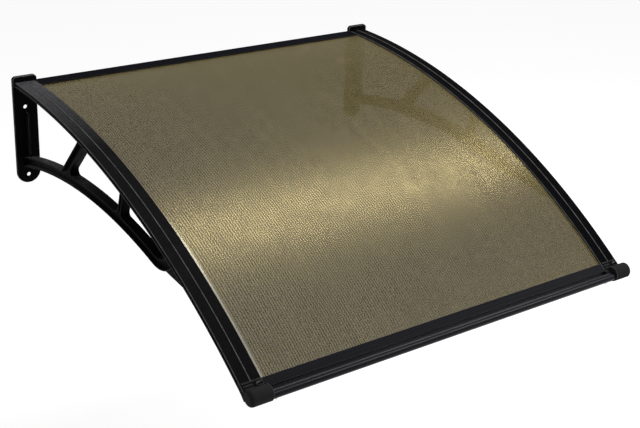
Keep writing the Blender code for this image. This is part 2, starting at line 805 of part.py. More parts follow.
def wall_bar_drop(out):
    """Return how far the wall bar's slanted lips lie below their wall edge."""
    middle = WALL_BAR_DEPTH / 2
    slope = middle / SHEET_RADIUS
    return (SHEET_RADIUS - math.sqrt(SHEET_RADIUS ** 2 - middle ** 2)) + (out - middle) * slope


def wall_bar_section(gap, back_out):
    """Return the outer outline of the wall bar's section, grown by a gap."""
    front = WALL_BAR_DEPTH + gap
    half = WALL_BAR_HALF + gap
    return [
        Vector((back_out, half - wall_bar_drop(back_out))),
        Vector((back_out, -half - wall_bar_drop(back_out))),
        Vector((front, -half - wall_bar_drop(front))),
        Vector((front, half - wall_bar_drop(front))),
    ]


def side_screw_centre():
    """Return the (out, up) centre of the screw that holds the wall bar."""
    return Vector((SIDE_SCREW_OUT, -wall_bar_drop(SIDE_SCREW_OUT)))


def wall_bar_half_length():
    """Return half the wall bar's length, which ends in the brackets' seats."""
    return BRACKET_SPACING / 2 - ARM_WIDTH / 2


def wall_bar(material):
    """Return the channel along the wall, with its screw channel in the back."""
    outer = wall_bar_section(0, 0)
    slot = [
        Vector((WALL_BAR_DEPTH, LIP_INSIDE - wall_bar_drop(WALL_BAR_DEPTH))),
        Vector((WALL_BAR_BACK, LIP_INSIDE - wall_bar_drop(WALL_BAR_BACK))),
        Vector((WALL_BAR_BACK, -LIP_INSIDE - wall_bar_drop(WALL_BAR_BACK))),
        Vector((WALL_BAR_DEPTH, -LIP_INSIDE - wall_bar_drop(WALL_BAR_DEPTH))),
    ]
    outline = outer[:3] + slot[::-1] + outer[3:]
    channel = circle(side_screw_centre(), SIDE_SCREW_RADIUS + FIT_GAP, SCREW_SEGMENTS)
    half = wall_bar_half_length()
    item = side_solid("wall_bar", [outline, channel], -half, half, PARTS)
    finish(item, material)
    return item


# Front bar

def front_bar_section():
    """Return the outline of the front bar's section."""
    top = LIP_INSIDE + LIP_THICKNESS
    floor = NECK_THICKNESS - top
    drop = floor - TUBE_LIFT
    gutter_angle = math.degrees(math.atan2(drop, -math.sqrt(TUBE_RADIUS ** 2 - drop ** 2)))
    origin, forward, upward = bar_frame()
    face = [origin + forward * (TUBE_FORWARD + point.x) + upward * (TUBE_LIFT + point.y)
            for point in arc_points((0, 0), TUBE_RADIUS, gutter_angle, -90 - 360, TUBE_SEGMENTS)]
    stop = LIP_LENGTH - LIP_BACK_WALL
    head = [bar_point(0, LIP_INSIDE), bar_point(0, top), bar_point(LIP_LENGTH, top), bar_point(LIP_LENGTH, floor)]
    foot = [bar_point(LIP_LENGTH, -top), bar_point(0, -top), bar_point(0, -LIP_INSIDE),
            bar_point(stop, -LIP_INSIDE), bar_point(stop, LIP_INSIDE)]
    return head + face + foot


def front_bar_end(inward):
    """Return how far the front bar's tube reaches to one bracket's boss."""
    return BRACKET_SPACING / 2 - boss_ends(inward)[1] - FIT_GAP


def front_bar_notch():
    """Return the cutter that ends the clamp and the gutter short of the right bracket's arm."""
    rear, front = -CUTTER_MARGIN, TUBE_FORWARD - TUBE_RADIUS
    outline = [bar_point(rear, -NOTCH_HALF), bar_point(front, -NOTCH_HALF),
               bar_point(front, NOTCH_HALF), bar_point(rear, NOTCH_HALF)]
    return side_solid("front_bar_notch", [outline], front_bar_end(1), front_bar_end(-1) + CUTTER_MARGIN)


def front_bar(material):
    """Return the front extrusion, with a screw hole near each end of its tube."""
    bore = circle(tube_centre(), TUBE_RADIUS - TUBE_WALL, HOLE_SEGMENTS)
    item = side_solid("front_bar", [front_bar_section(), bore], -front_bar_end(1), front_bar_end(-1), PARTS)
    cut(item, front_bar_notch())
    for name, side in (("left", -1), ("right", 1)):
        across = side * (BRACKET_SPACING / 2 - TUBE_SCREW_ACROSS)
        cut(item, upright_rod(f"tube_hole_{name}", across, TUBE_SCREW_RADIUS + FIT_GAP))
    finish(item, material)
    return item


def tube_screw_seat():
    """Return the height of the front screw head's seat, just below the tube."""
    return tube_centre().y - TUBE_RADIUS - FIT_GAP


def upright_rod(name, across, radius):
    """Return an upright rod under the tube that reaches past the front screw's tip."""
    depth = tube_centre().x
    low = tube_screw_seat() - CUTTER_MARGIN
    high = tube_screw_seat() + TUBE_SCREW_LENGTH + FIT_GAP
    mesh = bpy.data.meshes.new(name)
    cage = bmesh.new()
    bmesh.ops.create_cone(cage, cap_ends=True, segments=SCREW_SEGMENTS, radius1=radius,
                          radius2=radius, depth=high - low)
    bmesh.ops.translate(cage, verts=cage.verts, vec=(across, -depth, (low + high) / 2))
    cage.to_mesh(mesh)
    cage.free()
    return new_object(name, mesh, CUTTERS)


# Screws

def screw(name, radius, length, head_radius, head_height, material):
    """Return a self-tapping screw along -Z whose head's seat is at its origin."""
    profile = [
        (0, head_height), (head_radius * HEAD_TOP_SHARE, head_height), (head_radius, head_height * HEAD_EDGE_SHARE),
        (head_radius, 0), (radius, 0), (radius, SCREW_TIP - length), (0, -length),
    ]
    mesh = bpy.data.meshes.new(name)
    mesh.from_pydata([(x, 0, z) for x, z in profile], [(i, i + 1) for i in range(len(profile) - 1)], [])
    item = new_object(name, mesh, PARTS)
    turn = item.modifiers.new("turned", "SCREW")
    turn.steps = SCREW_SEGMENTS
    turn.render_steps = SCREW_SEGMENTS
    turn.use_merge_vertices = True
    turn.merge_threshold = WELD_DISTANCE
    for number in range(2):
        cut(item, recess_bar(f"{name}_recess_{number + 1}", number, head_radius, head_height))
    mesh.materials.append(material)
    return item


def recess_bar(name, number, head_radius, head_height):
    """Return one bar of the cross recess in a screw's head."""
    mesh = bpy.data.meshes.new(name)
    cage = bmesh.new()
    bmesh.ops.create_cube(cage, size=1)
    shrink = 1 - RECESS_STEP * number
    length = 2 * head_radius * RECESS_SHARE * shrink
    height = 2 * RECESS_DEPTH * shrink
    bmesh.ops.scale(cage, verts=cage.verts, vec=(length, RECESS_WIDTH, height))
    bmesh.ops.rotate(cage, verts=cage.verts, matrix=Matrix.Rotation(number * math.pi / 2, 3, "Z"))
    bmesh.ops.translate(cage, verts=cage.verts, vec=(0, 0, head_height))
    cage.to_mesh(mesh)
    cage.free()
    return new_object(name, mesh, CUTTERS)


def side_screw(name, side, material):
    """Return the screw through a bracket's web into the wall bar's end."""
    item = screw(name, SIDE_SCREW_RADIUS, SIDE_SCREW_LENGTH, SIDE_SCREW_HEAD_RADIUS,
                 SIDE_SCREW_HEAD_HEIGHT, material)
    centre = side_screw_centre()
    across = side * (BRACKET_SPACING / 2 + ARM_WEB / 2 + FIT_GAP)
    item.location = (across, -centre.x, centre.y)
    item.rotation_euler.y = side * math.pi / 2
    return item


def tube_screw(name, side, material):
    """Return the screw from below through the tube into a bracket's spigot."""
    item = screw(name, TUBE_SCREW_RADIUS, TUBE_SCREW_LENGTH, TUBE_SCREW_HEAD_RADIUS,
                 TUBE_SCREW_HEAD_HEIGHT, material)
    across = side * (BRACKET_SPACING / 2 - TUBE_SCREW_ACROSS)
    item.location = (across, -tube_centre().x, tube_screw_seat())
    item.rotation_euler.x = math.pi
    return item


def main():
    """Build the whole canopy."""
    plastic = black_plastic()
    aluminium = black_aluminium()
    steel = zinc_steel()
    bracket("bracket_left", 1, plastic)
    bracket("bracket_right", -1, plastic)
    roof_sheet(bronze_polycarbonate())
    wall_bar(aluminium)
    front_bar(aluminium)
    for name, side in (("left", -1), ("right", 1)):
        side_screw(f"wall_bar_screw_{name}", side, steel)
        tube_screw(f"front_bar_screw_{name}", side, steel)


main()
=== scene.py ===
"""Polycarbonate door canopy: a bronze twin-wall sheet in a black frame.

X runs along the wall, Y points into the wall and Z points up. The wall plane is y = 0.
A side outline is a list of (out, up) points, where out is the distance from the wall.
A lift is a height off the arc that the sheet follows. Sizes are in metres.
"""

from __future__ import annotations

import logging
import math
from dataclasses import dataclass
from enum import Enum
from typing import Callable, Sequence

import bmesh
import bpy
from mathutils import Matrix, Vector
from mathutils.geometry import tessellate_polygon

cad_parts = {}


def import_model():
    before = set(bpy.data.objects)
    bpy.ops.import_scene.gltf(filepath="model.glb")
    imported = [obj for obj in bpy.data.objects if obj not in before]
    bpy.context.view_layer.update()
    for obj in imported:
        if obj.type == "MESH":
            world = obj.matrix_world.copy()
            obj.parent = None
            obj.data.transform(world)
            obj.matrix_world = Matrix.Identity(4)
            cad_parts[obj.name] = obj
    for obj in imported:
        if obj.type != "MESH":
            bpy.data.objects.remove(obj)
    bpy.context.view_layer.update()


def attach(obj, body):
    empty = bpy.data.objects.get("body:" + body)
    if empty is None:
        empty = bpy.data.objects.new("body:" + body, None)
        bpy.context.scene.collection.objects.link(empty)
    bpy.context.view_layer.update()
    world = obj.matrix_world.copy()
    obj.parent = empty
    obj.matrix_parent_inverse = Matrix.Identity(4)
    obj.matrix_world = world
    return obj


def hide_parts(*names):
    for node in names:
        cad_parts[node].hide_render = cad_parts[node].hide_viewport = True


LOG = logging.getLogger("door_canopy")

# Distance between the sheet's webs
FLUTE_PITCH = 0.0060
# Widest face that still counts as a rounded edge, on plain walls and on raised lines
EDGE_FACE_WIDTH = 0.0007
RAISED_FACE_WIDTH = 0.0014
# A face is upright where its normal's X or Y is more than this
UPRIGHT_NORMAL = 0.999
# Angles in radians from which an edge is sharp, and up to which two faces are one
SHARP_ANGLE = math.radians(34)
FLAT_ANGLE = math.radians(0.05)
# Usual rounding of a moulded edge
SOFT_EDGE = 0.0004
# How far a cutter reaches past the body that it cuts
CUT_CLEAR = 0.003
# Steps of a fine rounding, of a bar's rounding and of a wide one
EDGE_STEPS = 3
BAR_STEPS = 4
WIDE_STEPS = 8
# Steps of a narrow hole, of a wide one and of a long arc
ROD_STEPS = 24
BORE_STEPS = 40
ARC_STEPS = 72
# Rounds of a search for a crossing
SEARCH_ROUNDS = 40
# Distance between the points of a height line
POINT_SPACING = 0.012
# A wave texture at scale 1 has this many waves in 2 pi units
WAVE_BANDS = 20
# Relief of the grain on plastic and coat
GRAIN_DEPTH = 0.0001
# How fine the breaks in the painted edge highlight are, and its least share
EDGE_HIGHLIGHT_SCALE = 60.0
EDGE_HIGHLIGHT_LEAST = 0.45

Outline = list[Vector]
Corners = list[tuple[Vector, float]]
Place = Callable[[Vector, float], Vector]
Line = Callable[[float], float]
Range = tuple[float, float]
Triple = tuple[float, float, float]
Colour = Triple
Socket = bpy.types.NodeSocket
Item = bpy.types.Object


class Side(Enum):
    """The side of the canopy that a bracket stands on, with its direction to the sheet."""

    LEFT = 1
    RIGHT = -1

    @property
    def word(self) -> str:
        """Return the side's name in lower case."""
        return self.name.lower()


class Operation(Enum):
    """What a tool body does to the body that it meets."""

    JOIN = "UNION"
    CUT = "DIFFERENCE"


class Rule(Enum):
    """How two values of a material are put together."""

    ADDED = "ADD"
    MULTIPLIED = "MULTIPLY"
    LARGER = "MAXIMUM"


class Slot(Enum):
    """The material slots of the part."""

    PLASTIC = "black_plastic"
    SHEET = "bronze_polycarbonate"
    ALUMINIUM = "black_aluminium"
    STEEL = "zinc_steel"


def side_place(point: Vector, across: float) -> Vector:
    """Return the place of an (out, up) point at a distance across the part."""
    return Vector((across, -point.x, point.y))


def front_place(point: Vector, out: float) -> Vector:
    """Return the place of an (across, up) point at a distance from the wall."""
    return Vector((point.x, -out, point.y))


def level_place(point: Vector, up: float) -> Vector:
    """Return the place of an (x, y) point at a height."""
    return Vector((point.x, point.y, up))


def evenly(start: float, end: float, count: int) -> list[float]:
    """Return even values from start to end, one more than there are steps."""
    return [start + (end - start) * step / count for step in range(count + 1)]


def arc_points(centre: Sequence[float], radius: float, start: float, end: float,
               count: int) -> Outline:
    """Draw an arc.

    Args:
        centre: Centre of the arc.
        radius: Radius of the arc.
        start: First angle in degrees.
        end: Last angle in degrees.
        count: Number of steps.

    Returns:
        One point more than there are steps.
    """
    angles = [math.radians(turn) for turn in evenly(start, end, count)]
    return [Vector((centre[0] + radius * math.cos(angle), centre[1] + radius * math.sin(angle)))
            for angle in angles]


def circle(centre: Sequence[float], radius: float, count: int) -> Outline:
    """Return the points of a full circle."""
    return arc_points(centre, radius, 0, 360, count)[:-1]


def rectangle(left: float, right: float, low: float, high: float) -> Outline:
    """Return the corners of a rectangle, from the lower left one."""
    return [Vector(corner) for corner in ((left, low), (right, low), (right, high), (left, high))]


def sharp(points: Sequence[Vector]) -> Corners:
    """Return corners without rounding."""
    return [(point, 0.0) for point in points]


def corners_at(*corners: tuple[float, float, float]) -> Corners:
    """Return corners from their two measures and their rounding radius."""
    return [(Vector((first, second)), radius) for first, second, radius in corners]


def fillet(before: Vector, corner: Vector, after: Vector, radius: float, count: int) -> Outline:
    """Draw the arc that rounds a corner.

    Args:
        before: The corner's neighbour on one side.
        corner: The corner itself.
        after: The corner's neighbour on the other side.
        radius: Radius of the rounding.
        count: Number of steps of the arc.

    Returns:
        The points of the arc, from the side of before to the side of after.
    """
    to_before = (before - corner).normalized()
    to_after = (after - corner).normalized()
    half = to_before.angle(to_after) / 2
    reach = min(radius / math.tan(half), (before - corner).length, (after - corner).length)
    centre = corner + (to_before + to_after).normalized() * reach / math.cos(half)
    start = corner + to_before * reach - centre
    turn = to_after.angle_signed(to_before)
    arc = math.copysign(math.pi - abs(turn), -turn)
    points = []
    for step in range(count + 1):
        arm = start.copy()
        arm.rotate(Matrix.Rotation(arc * step / count, 2))
        points.append(centre + arm)
    return points


def rounded(corners: Corners, count: int) -> Outline:
    """Round the corners of a closed outline.

    Args:
        corners: The corners with their rounding radii.
        count: Number of steps of each rounding.

    Returns:
        The points of the outline.
    """
    points: Outline = []
    for index, (corner, radius) in enumerate(corners):
        if radius == 0:
            points.append(corner)
            continue
        after = corners[(index + 1) % len(corners)][0]
        points += fillet(corners[index - 1][0], corner, after, radius, count)
    return points


def grown(points: Outline, distance: float) -> Outline:
    """Move a closed outline outwards, or inwards by a negative distance.

    Args:
        points: The outline, in either direction.
        distance: How far each of its lines moves.

    Returns:
        The moved outline, with as many points.
    """
    area = sum(a.x * b.y - b.x * a.y for a, b in zip(points, points[1:] + points[:1]))
    sign = math.copysign(1, area)
    moved = []
    for index, point in enumerate(points):
        before = (point - points[index - 1]).normalized()
        after = (points[(index + 1) % len(points)] - point).normalized()
        bisector = Vector((before.y + after.y, -before.x - after.x)).normalized()
        stretch = bisector.dot(Vector((after.y, -after.x)))
        moved.append(point + bisector * (sign * distance / stretch))
    return moved


def crossing(test: Callable[[float], bool], low: float, high: float) -> float:
    """Find the value between two limits up to which a test holds.

    Args:
        test: Holds at the lower limit and fails at the higher one.
        low: The lower limit.
        high: The higher limit.

    Returns:
        The first value at which the test fails.
    """
    for _ in range(SEARCH_ROUNDS):
        middle = (low + high) / 2
        if test(middle):
            low = middle
        else:
            high = middle
    return high


def along(line: Line, out_from: float, out_to: float) -> Outline:
    """Follow a height line between two distances from the wall.

    Args:
        line: Gives the height at a distance from the wall.
        out_from: Where the points start.
        out_to: Where they end.

    Returns:
        Even points at about the usual spacing.
    """
    count = max(1, round(abs(out_to - out_from) / POINT_SPACING))
    return [Vector((out, line(out))) for out in evenly(out_from, out_to, count)]


def between(line: Line, start: Vector, end: Vector, clear: float) -> Corners:
    """Return points of a height line between two corners, clear of their rounding."""
    step = math.copysign(clear, end.x - start.x)
    return sharp(along(line, start.x + step, end.x - step))


def meet(side: Line, line: Line) -> Vector:
    """Find where a strut's side crosses a height line.

    Args:
        side: Gives the side's distance from the wall at a height.
        line: Gives the line's height at a distance from the wall.

    Returns:
        The (out, up) point where they cross.
    """
    out = side(0.0)
    for _ in range(SEARCH_ROUNDS):
        out = side(line(out))
    return Vector((out, line(out)))


def sweep(name: str, stations: Sequence[Sequence[Outline]]) -> Item:
    """Build a closed body from the same loops at several stations.

    Args:
        name: Name of the new object.
        stations: For each station its loops of places, the outer loop first.

    Returns:
        The new object, with flat ends at its first and last station.
    """
    sizes = [len(loop) for loop in stations[0]]
    total = sum(sizes)
    verts = [place for loops in stations for loop in loops for place in loop]
    faces: list[tuple[int, ...]] = []
    for step in range(len(stations) - 1):
        start = step * total
        for size in sizes:
            for index in range(size):
                a, b = start + index, start + (index + 1) % size
                faces.append((a, b, b + total, a + total))
            start += size
    for step in (0, len(stations) - 1):
        for triangle in tessellate_polygon(stations[step]):
            faces.append(tuple(step * total + index for index in triangle))
    mesh = bpy.data.meshes.new(name)
    mesh.from_pydata(verts, [], faces)
    cage = bmesh.new()
    cage.from_mesh(mesh)
    bmesh.ops.recalc_face_normals(cage, faces=cage.faces)
    cage.to_mesh(mesh)
    cage.free()
    item = bpy.data.objects.new(name, mesh)
    bpy.context.scene.collection.objects.link(item)
    return item


def slab(name: str, loops: Sequence[Outline], low: float, high: float, place: Place,
         edges: Range = (0.0, 0.0), steps: int = EDGE_STEPS) -> Item:
    """Build a plate of flat outlines whose edges may be rounded.

    Args:
        name: Name of the new object.
        loops: The outer outline, then the holes.
        low: Where the plate starts in its depth.
        high: Where the plate ends in its depth.
        place: Gives the place of a flat point at a depth.
        edges: Rounding radii at the start and at the end.
        steps: Number of steps of each rounding.

    Returns:
        The new object.
    """
    levels: list[Range] = []
    for end, edge, sign in ((low, edges[0], 1), (high, edges[1], -1)):
        turns = evenly(0.0, math.pi / 2, steps) if edge > 0 else [0.0]
        rim = [(end + sign * edge * (1 - math.cos(t)), edge * (1 - math.sin(t))) for t in turns]
        levels += rim if sign > 0 else rim[::-1]
    stations = []
    for depth, inset in levels:
        flat = [grown(loop, inset if number else -inset) if inset > 0 else loop
                for number, loop in enumerate(loops)]
        stations.append([[place(point, depth) for point in loop] for loop in flat])
    return sweep(name, stations)


def side_slab(name: str, loops: Sequence[Outline], start: float, end: float, sign: int = 1,
              edges: Range = (0.0, 0.0), steps: int = EDGE_STEPS) -> Item:
    """Build a plate of side outlines between two distances across the part.

    Args:
        name: Name of the new object.
        loops: The outer outline, then the holes.
        start: The first distance.
        end: The second distance, which is larger.
        sign: 1 where distances run to the right, -1 where they run to the left.
        edges: Rounding radii at the start and at the end.
        steps: Number of steps of each rounding.

    Returns:
        The new object.
    """
    if sign > 0:
        return slab(name, loops, start, end, side_place, edges, steps)
    return slab(name, loops, -end, -start, side_place, edges[::-1], steps)


def combine(item: Item, tools: Sequence[Item], operation: Operation) -> None:
    """Join tool bodies to an item or cut them out of it, and remove the tools.

    Args:
        item: The body that is changed.
        tools: The bodies that change it.
        operation: Whether they are joined or cut out.
    """
    for tool in tools:
        step = item.modifiers.new(tool.name, "BOOLEAN")
        step.operation = operation.value
        step.solver = "MANIFOLD"
        step.object = tool
    bpy.context.view_layer.update()
    shape = item.evaluated_get(bpy.context.evaluated_depsgraph_get())
    mesh = bpy.data.meshes.new_from_object(shape)
    item.modifiers.clear()
    item.data = mesh
    for tool in tools:
        bpy.data.objects.remove(tool, do_unlink=True)


def merge_flats(mesh: bpy.types.Mesh) -> None:
    """Merge the faces that lie in one plane.

    Args:
        mesh: The mesh that is changed.
    """
    cage = bmesh.new()
    cage.from_mesh(mesh)
    bmesh.ops.dissolve_limit(cage, angle_limit=FLAT_ANGLE, verts=cage.verts, edges=cage.edges)
    cage.to_mesh(mesh)
    cage.free()


def mark_edges(mesh: bpy.types.Mesh, raised: Callable[[Vector], bool]) -> None:
    """Keep on each face whether it is part of a rounded edge, for the painted edge highlight of
    the finishes.

    Args:
        mesh: The finished mesh.
        raised: Tells whether a place lies on a raised line, whose top counts as an edge too.
    """
    edge = mesh.attributes.new("rounded_edge", "FLOAT", "FACE")
    for face in mesh.polygons:
        corners = [mesh.vertices[index].co for index in face.vertices]
        longest = max((a - b).length for a, b in zip(corners, corners[1:] + corners[:1]))
        widest = RAISED_FACE_WIDTH if raised(face.center) else EDGE_FACE_WIDTH
        slim = 0.0 < face.area / longest < widest
        upright = max(abs(face.normal.x), abs(face.normal.y)) > UPRIGHT_NORMAL
        edge.data[face.index].value = float(slim and not upright)


def nowhere(_: Vector) -> bool:
    """Tell that no place lies on a raised line."""
    return False


def publish(item: Item, node: str, material: bpy.types.Material, slot: Slot,
            raised: Callable[[Vector], bool] = nowhere) -> None:
    """Shade a finished piece, dress it and let it stand for its CAD node.

    Args:
        item: The finished piece.
        node: The CAD node that it replaces.
        material: The material of the whole piece.
        slot: The material's slot, which decides whether flat faces are merged.
        raised: Tells whether a place lies on a raised line.
    """
    mesh = item.data
    mesh.name = item.name
    if slot in (Slot.PLASTIC, Slot.ALUMINIUM):
        merge_flats(mesh)
    mesh.materials.clear()
    mesh.materials.append(material)
    mark_edges(mesh, raised)
    mesh.shade_smooth()
    mesh.set_sharp_from_angle(angle=SHARP_ANGLE)
    weighted = item.modifiers.new("weighted_normals", "WEIGHTED_NORMAL")
    weighted.keep_sharp = True
    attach(item, "root")
    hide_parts(node)
    LOG.info("%s: %d faces", item.name, len(mesh.polygons))


class Graph:
    """The node tree of a material or of the world, built one node at a time."""

    def __init__(self, owner: bpy.types.Material | bpy.types.World) -> None:
        """Start on the nodes of a new material or world.

        Args:
            owner: The new material or world.
        """
        owner.use_nodes = True
        self.owner = owner
        self.tree = owner.node_tree
        self.shader = self.tree.nodes.get("Principled BSDF")

    def add(self, kind: str, **values: object) -> bpy.types.Node:
        """Add a node.

        Args:
            kind: Blender's name of the node type.
            values: Node settings in lower case, and input values with a capital first
                letter, where an underscore stands for a space.

        Returns:
            The new node.
        """
        node = self.tree.nodes.new(kind)
        for name, value in values.items():
            if name[0].isupper():
                node.inputs[name.replace("_", " ")].default_value = value
            else:
                setattr(node, name, value)
        return node

    def link(self, output: Socket, target: Socket) -> None:
        """Link an output to an input."""
        self.tree.links.new(output, target)

    def set(self, **values: object) -> None:
        """Set uniform values on the Principled shader's own sockets."""
        for name, value in values.items():
            self.shader.inputs[name.replace("_", " ")].default_value = value

    def drive(self, name: str, output: Socket) -> None:
        """Link an output to one of the Principled shader's inputs."""
        self.link(output, self.shader.inputs[name])

    def place(self, scale: Triple = (1, 1, 1)) -> Socket:
        """Add object coordinates.

        Args:
            scale: How much each of them is stretched.

        Returns:
            The place of a surface point.
        """
        mapping = self.add("ShaderNodeMapping", Scale=scale)
        self.link(self.add("ShaderNodeTexCoord").outputs["Object"], mapping.inputs["Vector"])
        return mapping.outputs["Vector"]

    def part(self, source: str, axis: str) -> Socket:
        """Add one part of the object coordinates or of the normal.

        Args:
            source: Object or Normal.
            axis: X, Y or Z.

        Returns:
            The part.
        """
        node = self.add("ShaderNodeSeparateXYZ")
        self.link(self.add("ShaderNodeTexCoord").outputs[source], node.inputs[0])
        return node.outputs[axis]

    def noise(self, place: Socket, scale: float, detail: float = 2.0) -> Socket:
        """Add a noise.

        Args:
            place: Where its value is taken.
            scale: How fine it is.
            detail: How many finer noises lie on it.

        Returns:
            The noise's value.
        """
        node = self.add("ShaderNodeTexNoise", Scale=scale, Detail=detail)
        self.link(place, node.inputs["Vector"])
        return node.outputs["Fac"]

    def span(self, value: Socket, low: float, high: float, start: float = 0.3,
             end: float = 0.7) -> Socket:
        """Map a value from one range to another.

        Args:
            value: The value.
            low: What it becomes at the start of its range, and below it.
            high: What it becomes at the end of its range, and above it.
            start: Start of its range.
            end: End of its range.

        Returns:
            The mapped value.
        """
        node = self.add("ShaderNodeMapRange", From_Min=start, From_Max=end, To_Min=low,
                        To_Max=high)
        self.link(value, node.inputs["Value"])
        return node.outputs["Result"]

    def figure(self, rule: Rule, first: Socket, second: Socket) -> Socket:
        """Put two values together.

        Args:
            rule: How they are put together.
            first: One value.
            second: The other value.

        Returns:
            The new value.
        """
        node = self.add("ShaderNodeMath", operation=rule.value)
        self.link(first, node.inputs[0])
        self.link(second, node.inputs[1])
        return node.outputs[0]

    def mix(self, factor: Socket, first: Socket | Colour, second: Colour) -> Socket:
        """Mix two colours.

        Args:
            factor: Share of the second colour.
            first: Another node's colour or a fixed one.
            second: A fixed colour.

        Returns:
            The mixed colour.
        """
        node = self.add("ShaderNodeMix", data_type="RGBA")
        self.link(factor, node.inputs["Factor"])
        if isinstance(first, tuple):
            node.inputs["A"].default_value = (*first, 1)
        else:
            self.link(first, node.inputs["A"])
        node.inputs["B"].default_value = (*second, 1)
        return node.outputs["Result"]

    def edge_highlight(self, place: Socket) -> Socket:
        """Add the painted highlight of the rounded edges, broken up by a noise.

        Args:
            place: Where the noise is taken.

        Returns:
            How much painted highlight an edge gets there, and 0 off the edges.
        """
        edge = self.add("ShaderNodeAttribute", attribute_name="rounded_edge").outputs["Fac"]
        edge_highlight_share = self.span(self.noise(place, EDGE_HIGHLIGHT_SCALE, detail=3.0), EDGE_HIGHLIGHT_LEAST, 1.0)
        return self.figure(Rule.MULTIPLIED, edge, edge_highlight_share)

    def bump(self, height: Socket, strength: float) -> None:
        """Give the shader a fine relief.

        Args:
            height: Height of the relief.
            strength: Share of the relief that shows.
        """
        node = self.add("ShaderNodeBump", Strength=strength, Distance=GRAIN_DEPTH)
        self.link(height, node.inputs["Height"])
        self.drive("Normal", node.outputs["Normal"])

    def seen(self) -> Socket:
        """Tell rays that show a surface from rays that only light one.

        Returns:
            1 for camera, glossy and transmission rays and 0 for others.
        """
        path = self.add("ShaderNodeLightPath").outputs
        total = path["Is Camera Ray"]
        for name in ("Is Glossy Ray", "Is Transmission Ray"):
            total = self.figure(Rule.LARGER, total, path[name])
        return total


@dataclass(frozen=True)
class BlackPlastic:
    """Matte black moulding with a fine spark-eroded grain and painted light: a painted highlight
    on the rounded edges, a painted sheen on the corner boss, and, where set, a painted grey sheen
    on the upward faces near the wall.

    The zones are object coordinates, and for upward_zone the normal's Z.
    """

    name: str
    # Share of the painted grey sheen on the upward faces near the wall
    painted_sheen: float
    shine: float
    colour: Colour = (0.0026, 0.0026, 0.0030)
    speck: Colour = (0.010, 0.010, 0.011)
    # Painted highlight of the rounded edges and of the ridge and rib tops
    edge: Colour = (0.15, 0.15, 0.155)
    # Painted sheen: the grey that the corner boss is lightened to
    painted_boss_sheen: Colour = (0.021, 0.021, 0.022)
    painted_sheen_colour: Colour = (0.105, 0.105, 0.110)
    painted_boss_sheen_zone: Range = (-0.948, -0.942)
    painted_sheen_zone: Range = (-0.36, -0.03)
    upward_zone: Range = (0.90, 0.97)
    speck_from: Range = (0.5, 0.75)
    patch_from: Range = (0.35, 0.65)
    patch_shares: Range = (0.35, 1.0)
    roughness: Range = (0.50, 0.64)
    grain: float = 420.0
    cloud: float = 45.0
    patch: float = 260.0
    relief: float = 0.25

    def material(self) -> bpy.types.Material:
        """Mix the finish.

        Returns:
            The moulded plastic's material.
        """
        graph = Graph(bpy.data.materials.new(self.name))
        place = graph.place()
        grain = graph.noise(place, self.grain, detail=3.0)
        cloud = graph.noise(place, self.cloud, detail=4.0)
        face = graph.mix(graph.span(grain, 0, 1, *self.speck_from), self.colour, self.speck)
        # Painted sheen: the corner boss is lightened beyond the arm's end, so that its form shows
        boss = graph.span(graph.part("Object", "Y"), 1, 0, *self.painted_boss_sheen_zone)
        face = graph.mix(boss, face, self.painted_boss_sheen)
        # Painted sheen: a patchy grey on the upward faces near the wall, where light catches them
        if self.painted_sheen > 0:
            upward = graph.span(graph.part("Normal", "Z"), 0, 1, *self.upward_zone)
            near_wall = graph.span(graph.part("Object", "Y"), 0, self.painted_sheen, *self.painted_sheen_zone)
            patchy = graph.span(graph.noise(place, self.patch), *self.patch_shares,
                                *self.patch_from)
            painted_sheen = graph.figure(Rule.MULTIPLIED, upward, near_wall)
            painted_sheen = graph.figure(Rule.MULTIPLIED, patchy, painted_sheen)
            face = graph.mix(painted_sheen, face, self.painted_sheen_colour)
        graph.drive("Base Color", graph.mix(graph.edge_highlight(place), face, self.edge))
        graph.drive("Roughness", graph.span(cloud, *self.roughness))
        graph.set(Specular_IOR_Level=self.shine)
        graph.bump(grain, self.relief)
        return graph.owner


@dataclass(frozen=True)
class BlackAluminium:
    """Black coated extrusion with faint draw lines along its length, and a painted highlight on
    its rounded edges.
    """

    name: str
    roughness: Range
    shine: float
    colour: Colour = (0.0030, 0.0032, 0.0050)
    # Painted highlight of the rounded edges
    edge: Colour = (0.035, 0.035, 0.040)
    fleck: float = 1.5
    draw_stretch: Triple = (0.5, 60, 60)
    draw_lines: float = 12.0
    grain: float = 700.0
    relief: float = 0.12

    def material(self) -> bpy.types.Material:
        """Mix the finish.

        Returns:
            The coated aluminium's material.
        """
        graph = Graph(bpy.data.materials.new(self.name))
        place = graph.place()
        lines = graph.noise(graph.place(self.draw_stretch), self.draw_lines, detail=3.0)
        fine = graph.span(graph.noise(place, self.grain), 0, 1)
        face = graph.mix(fine, self.colour, tuple(c * self.fleck for c in self.colour))
        graph.drive("Base Color", graph.mix(graph.edge_highlight(place), face, self.edge))
        graph.drive("Roughness", graph.span(lines, *self.roughness))
        graph.set(Specular_IOR_Level=self.shine)
        graph.bump(lines, self.relief)
        return graph.owner


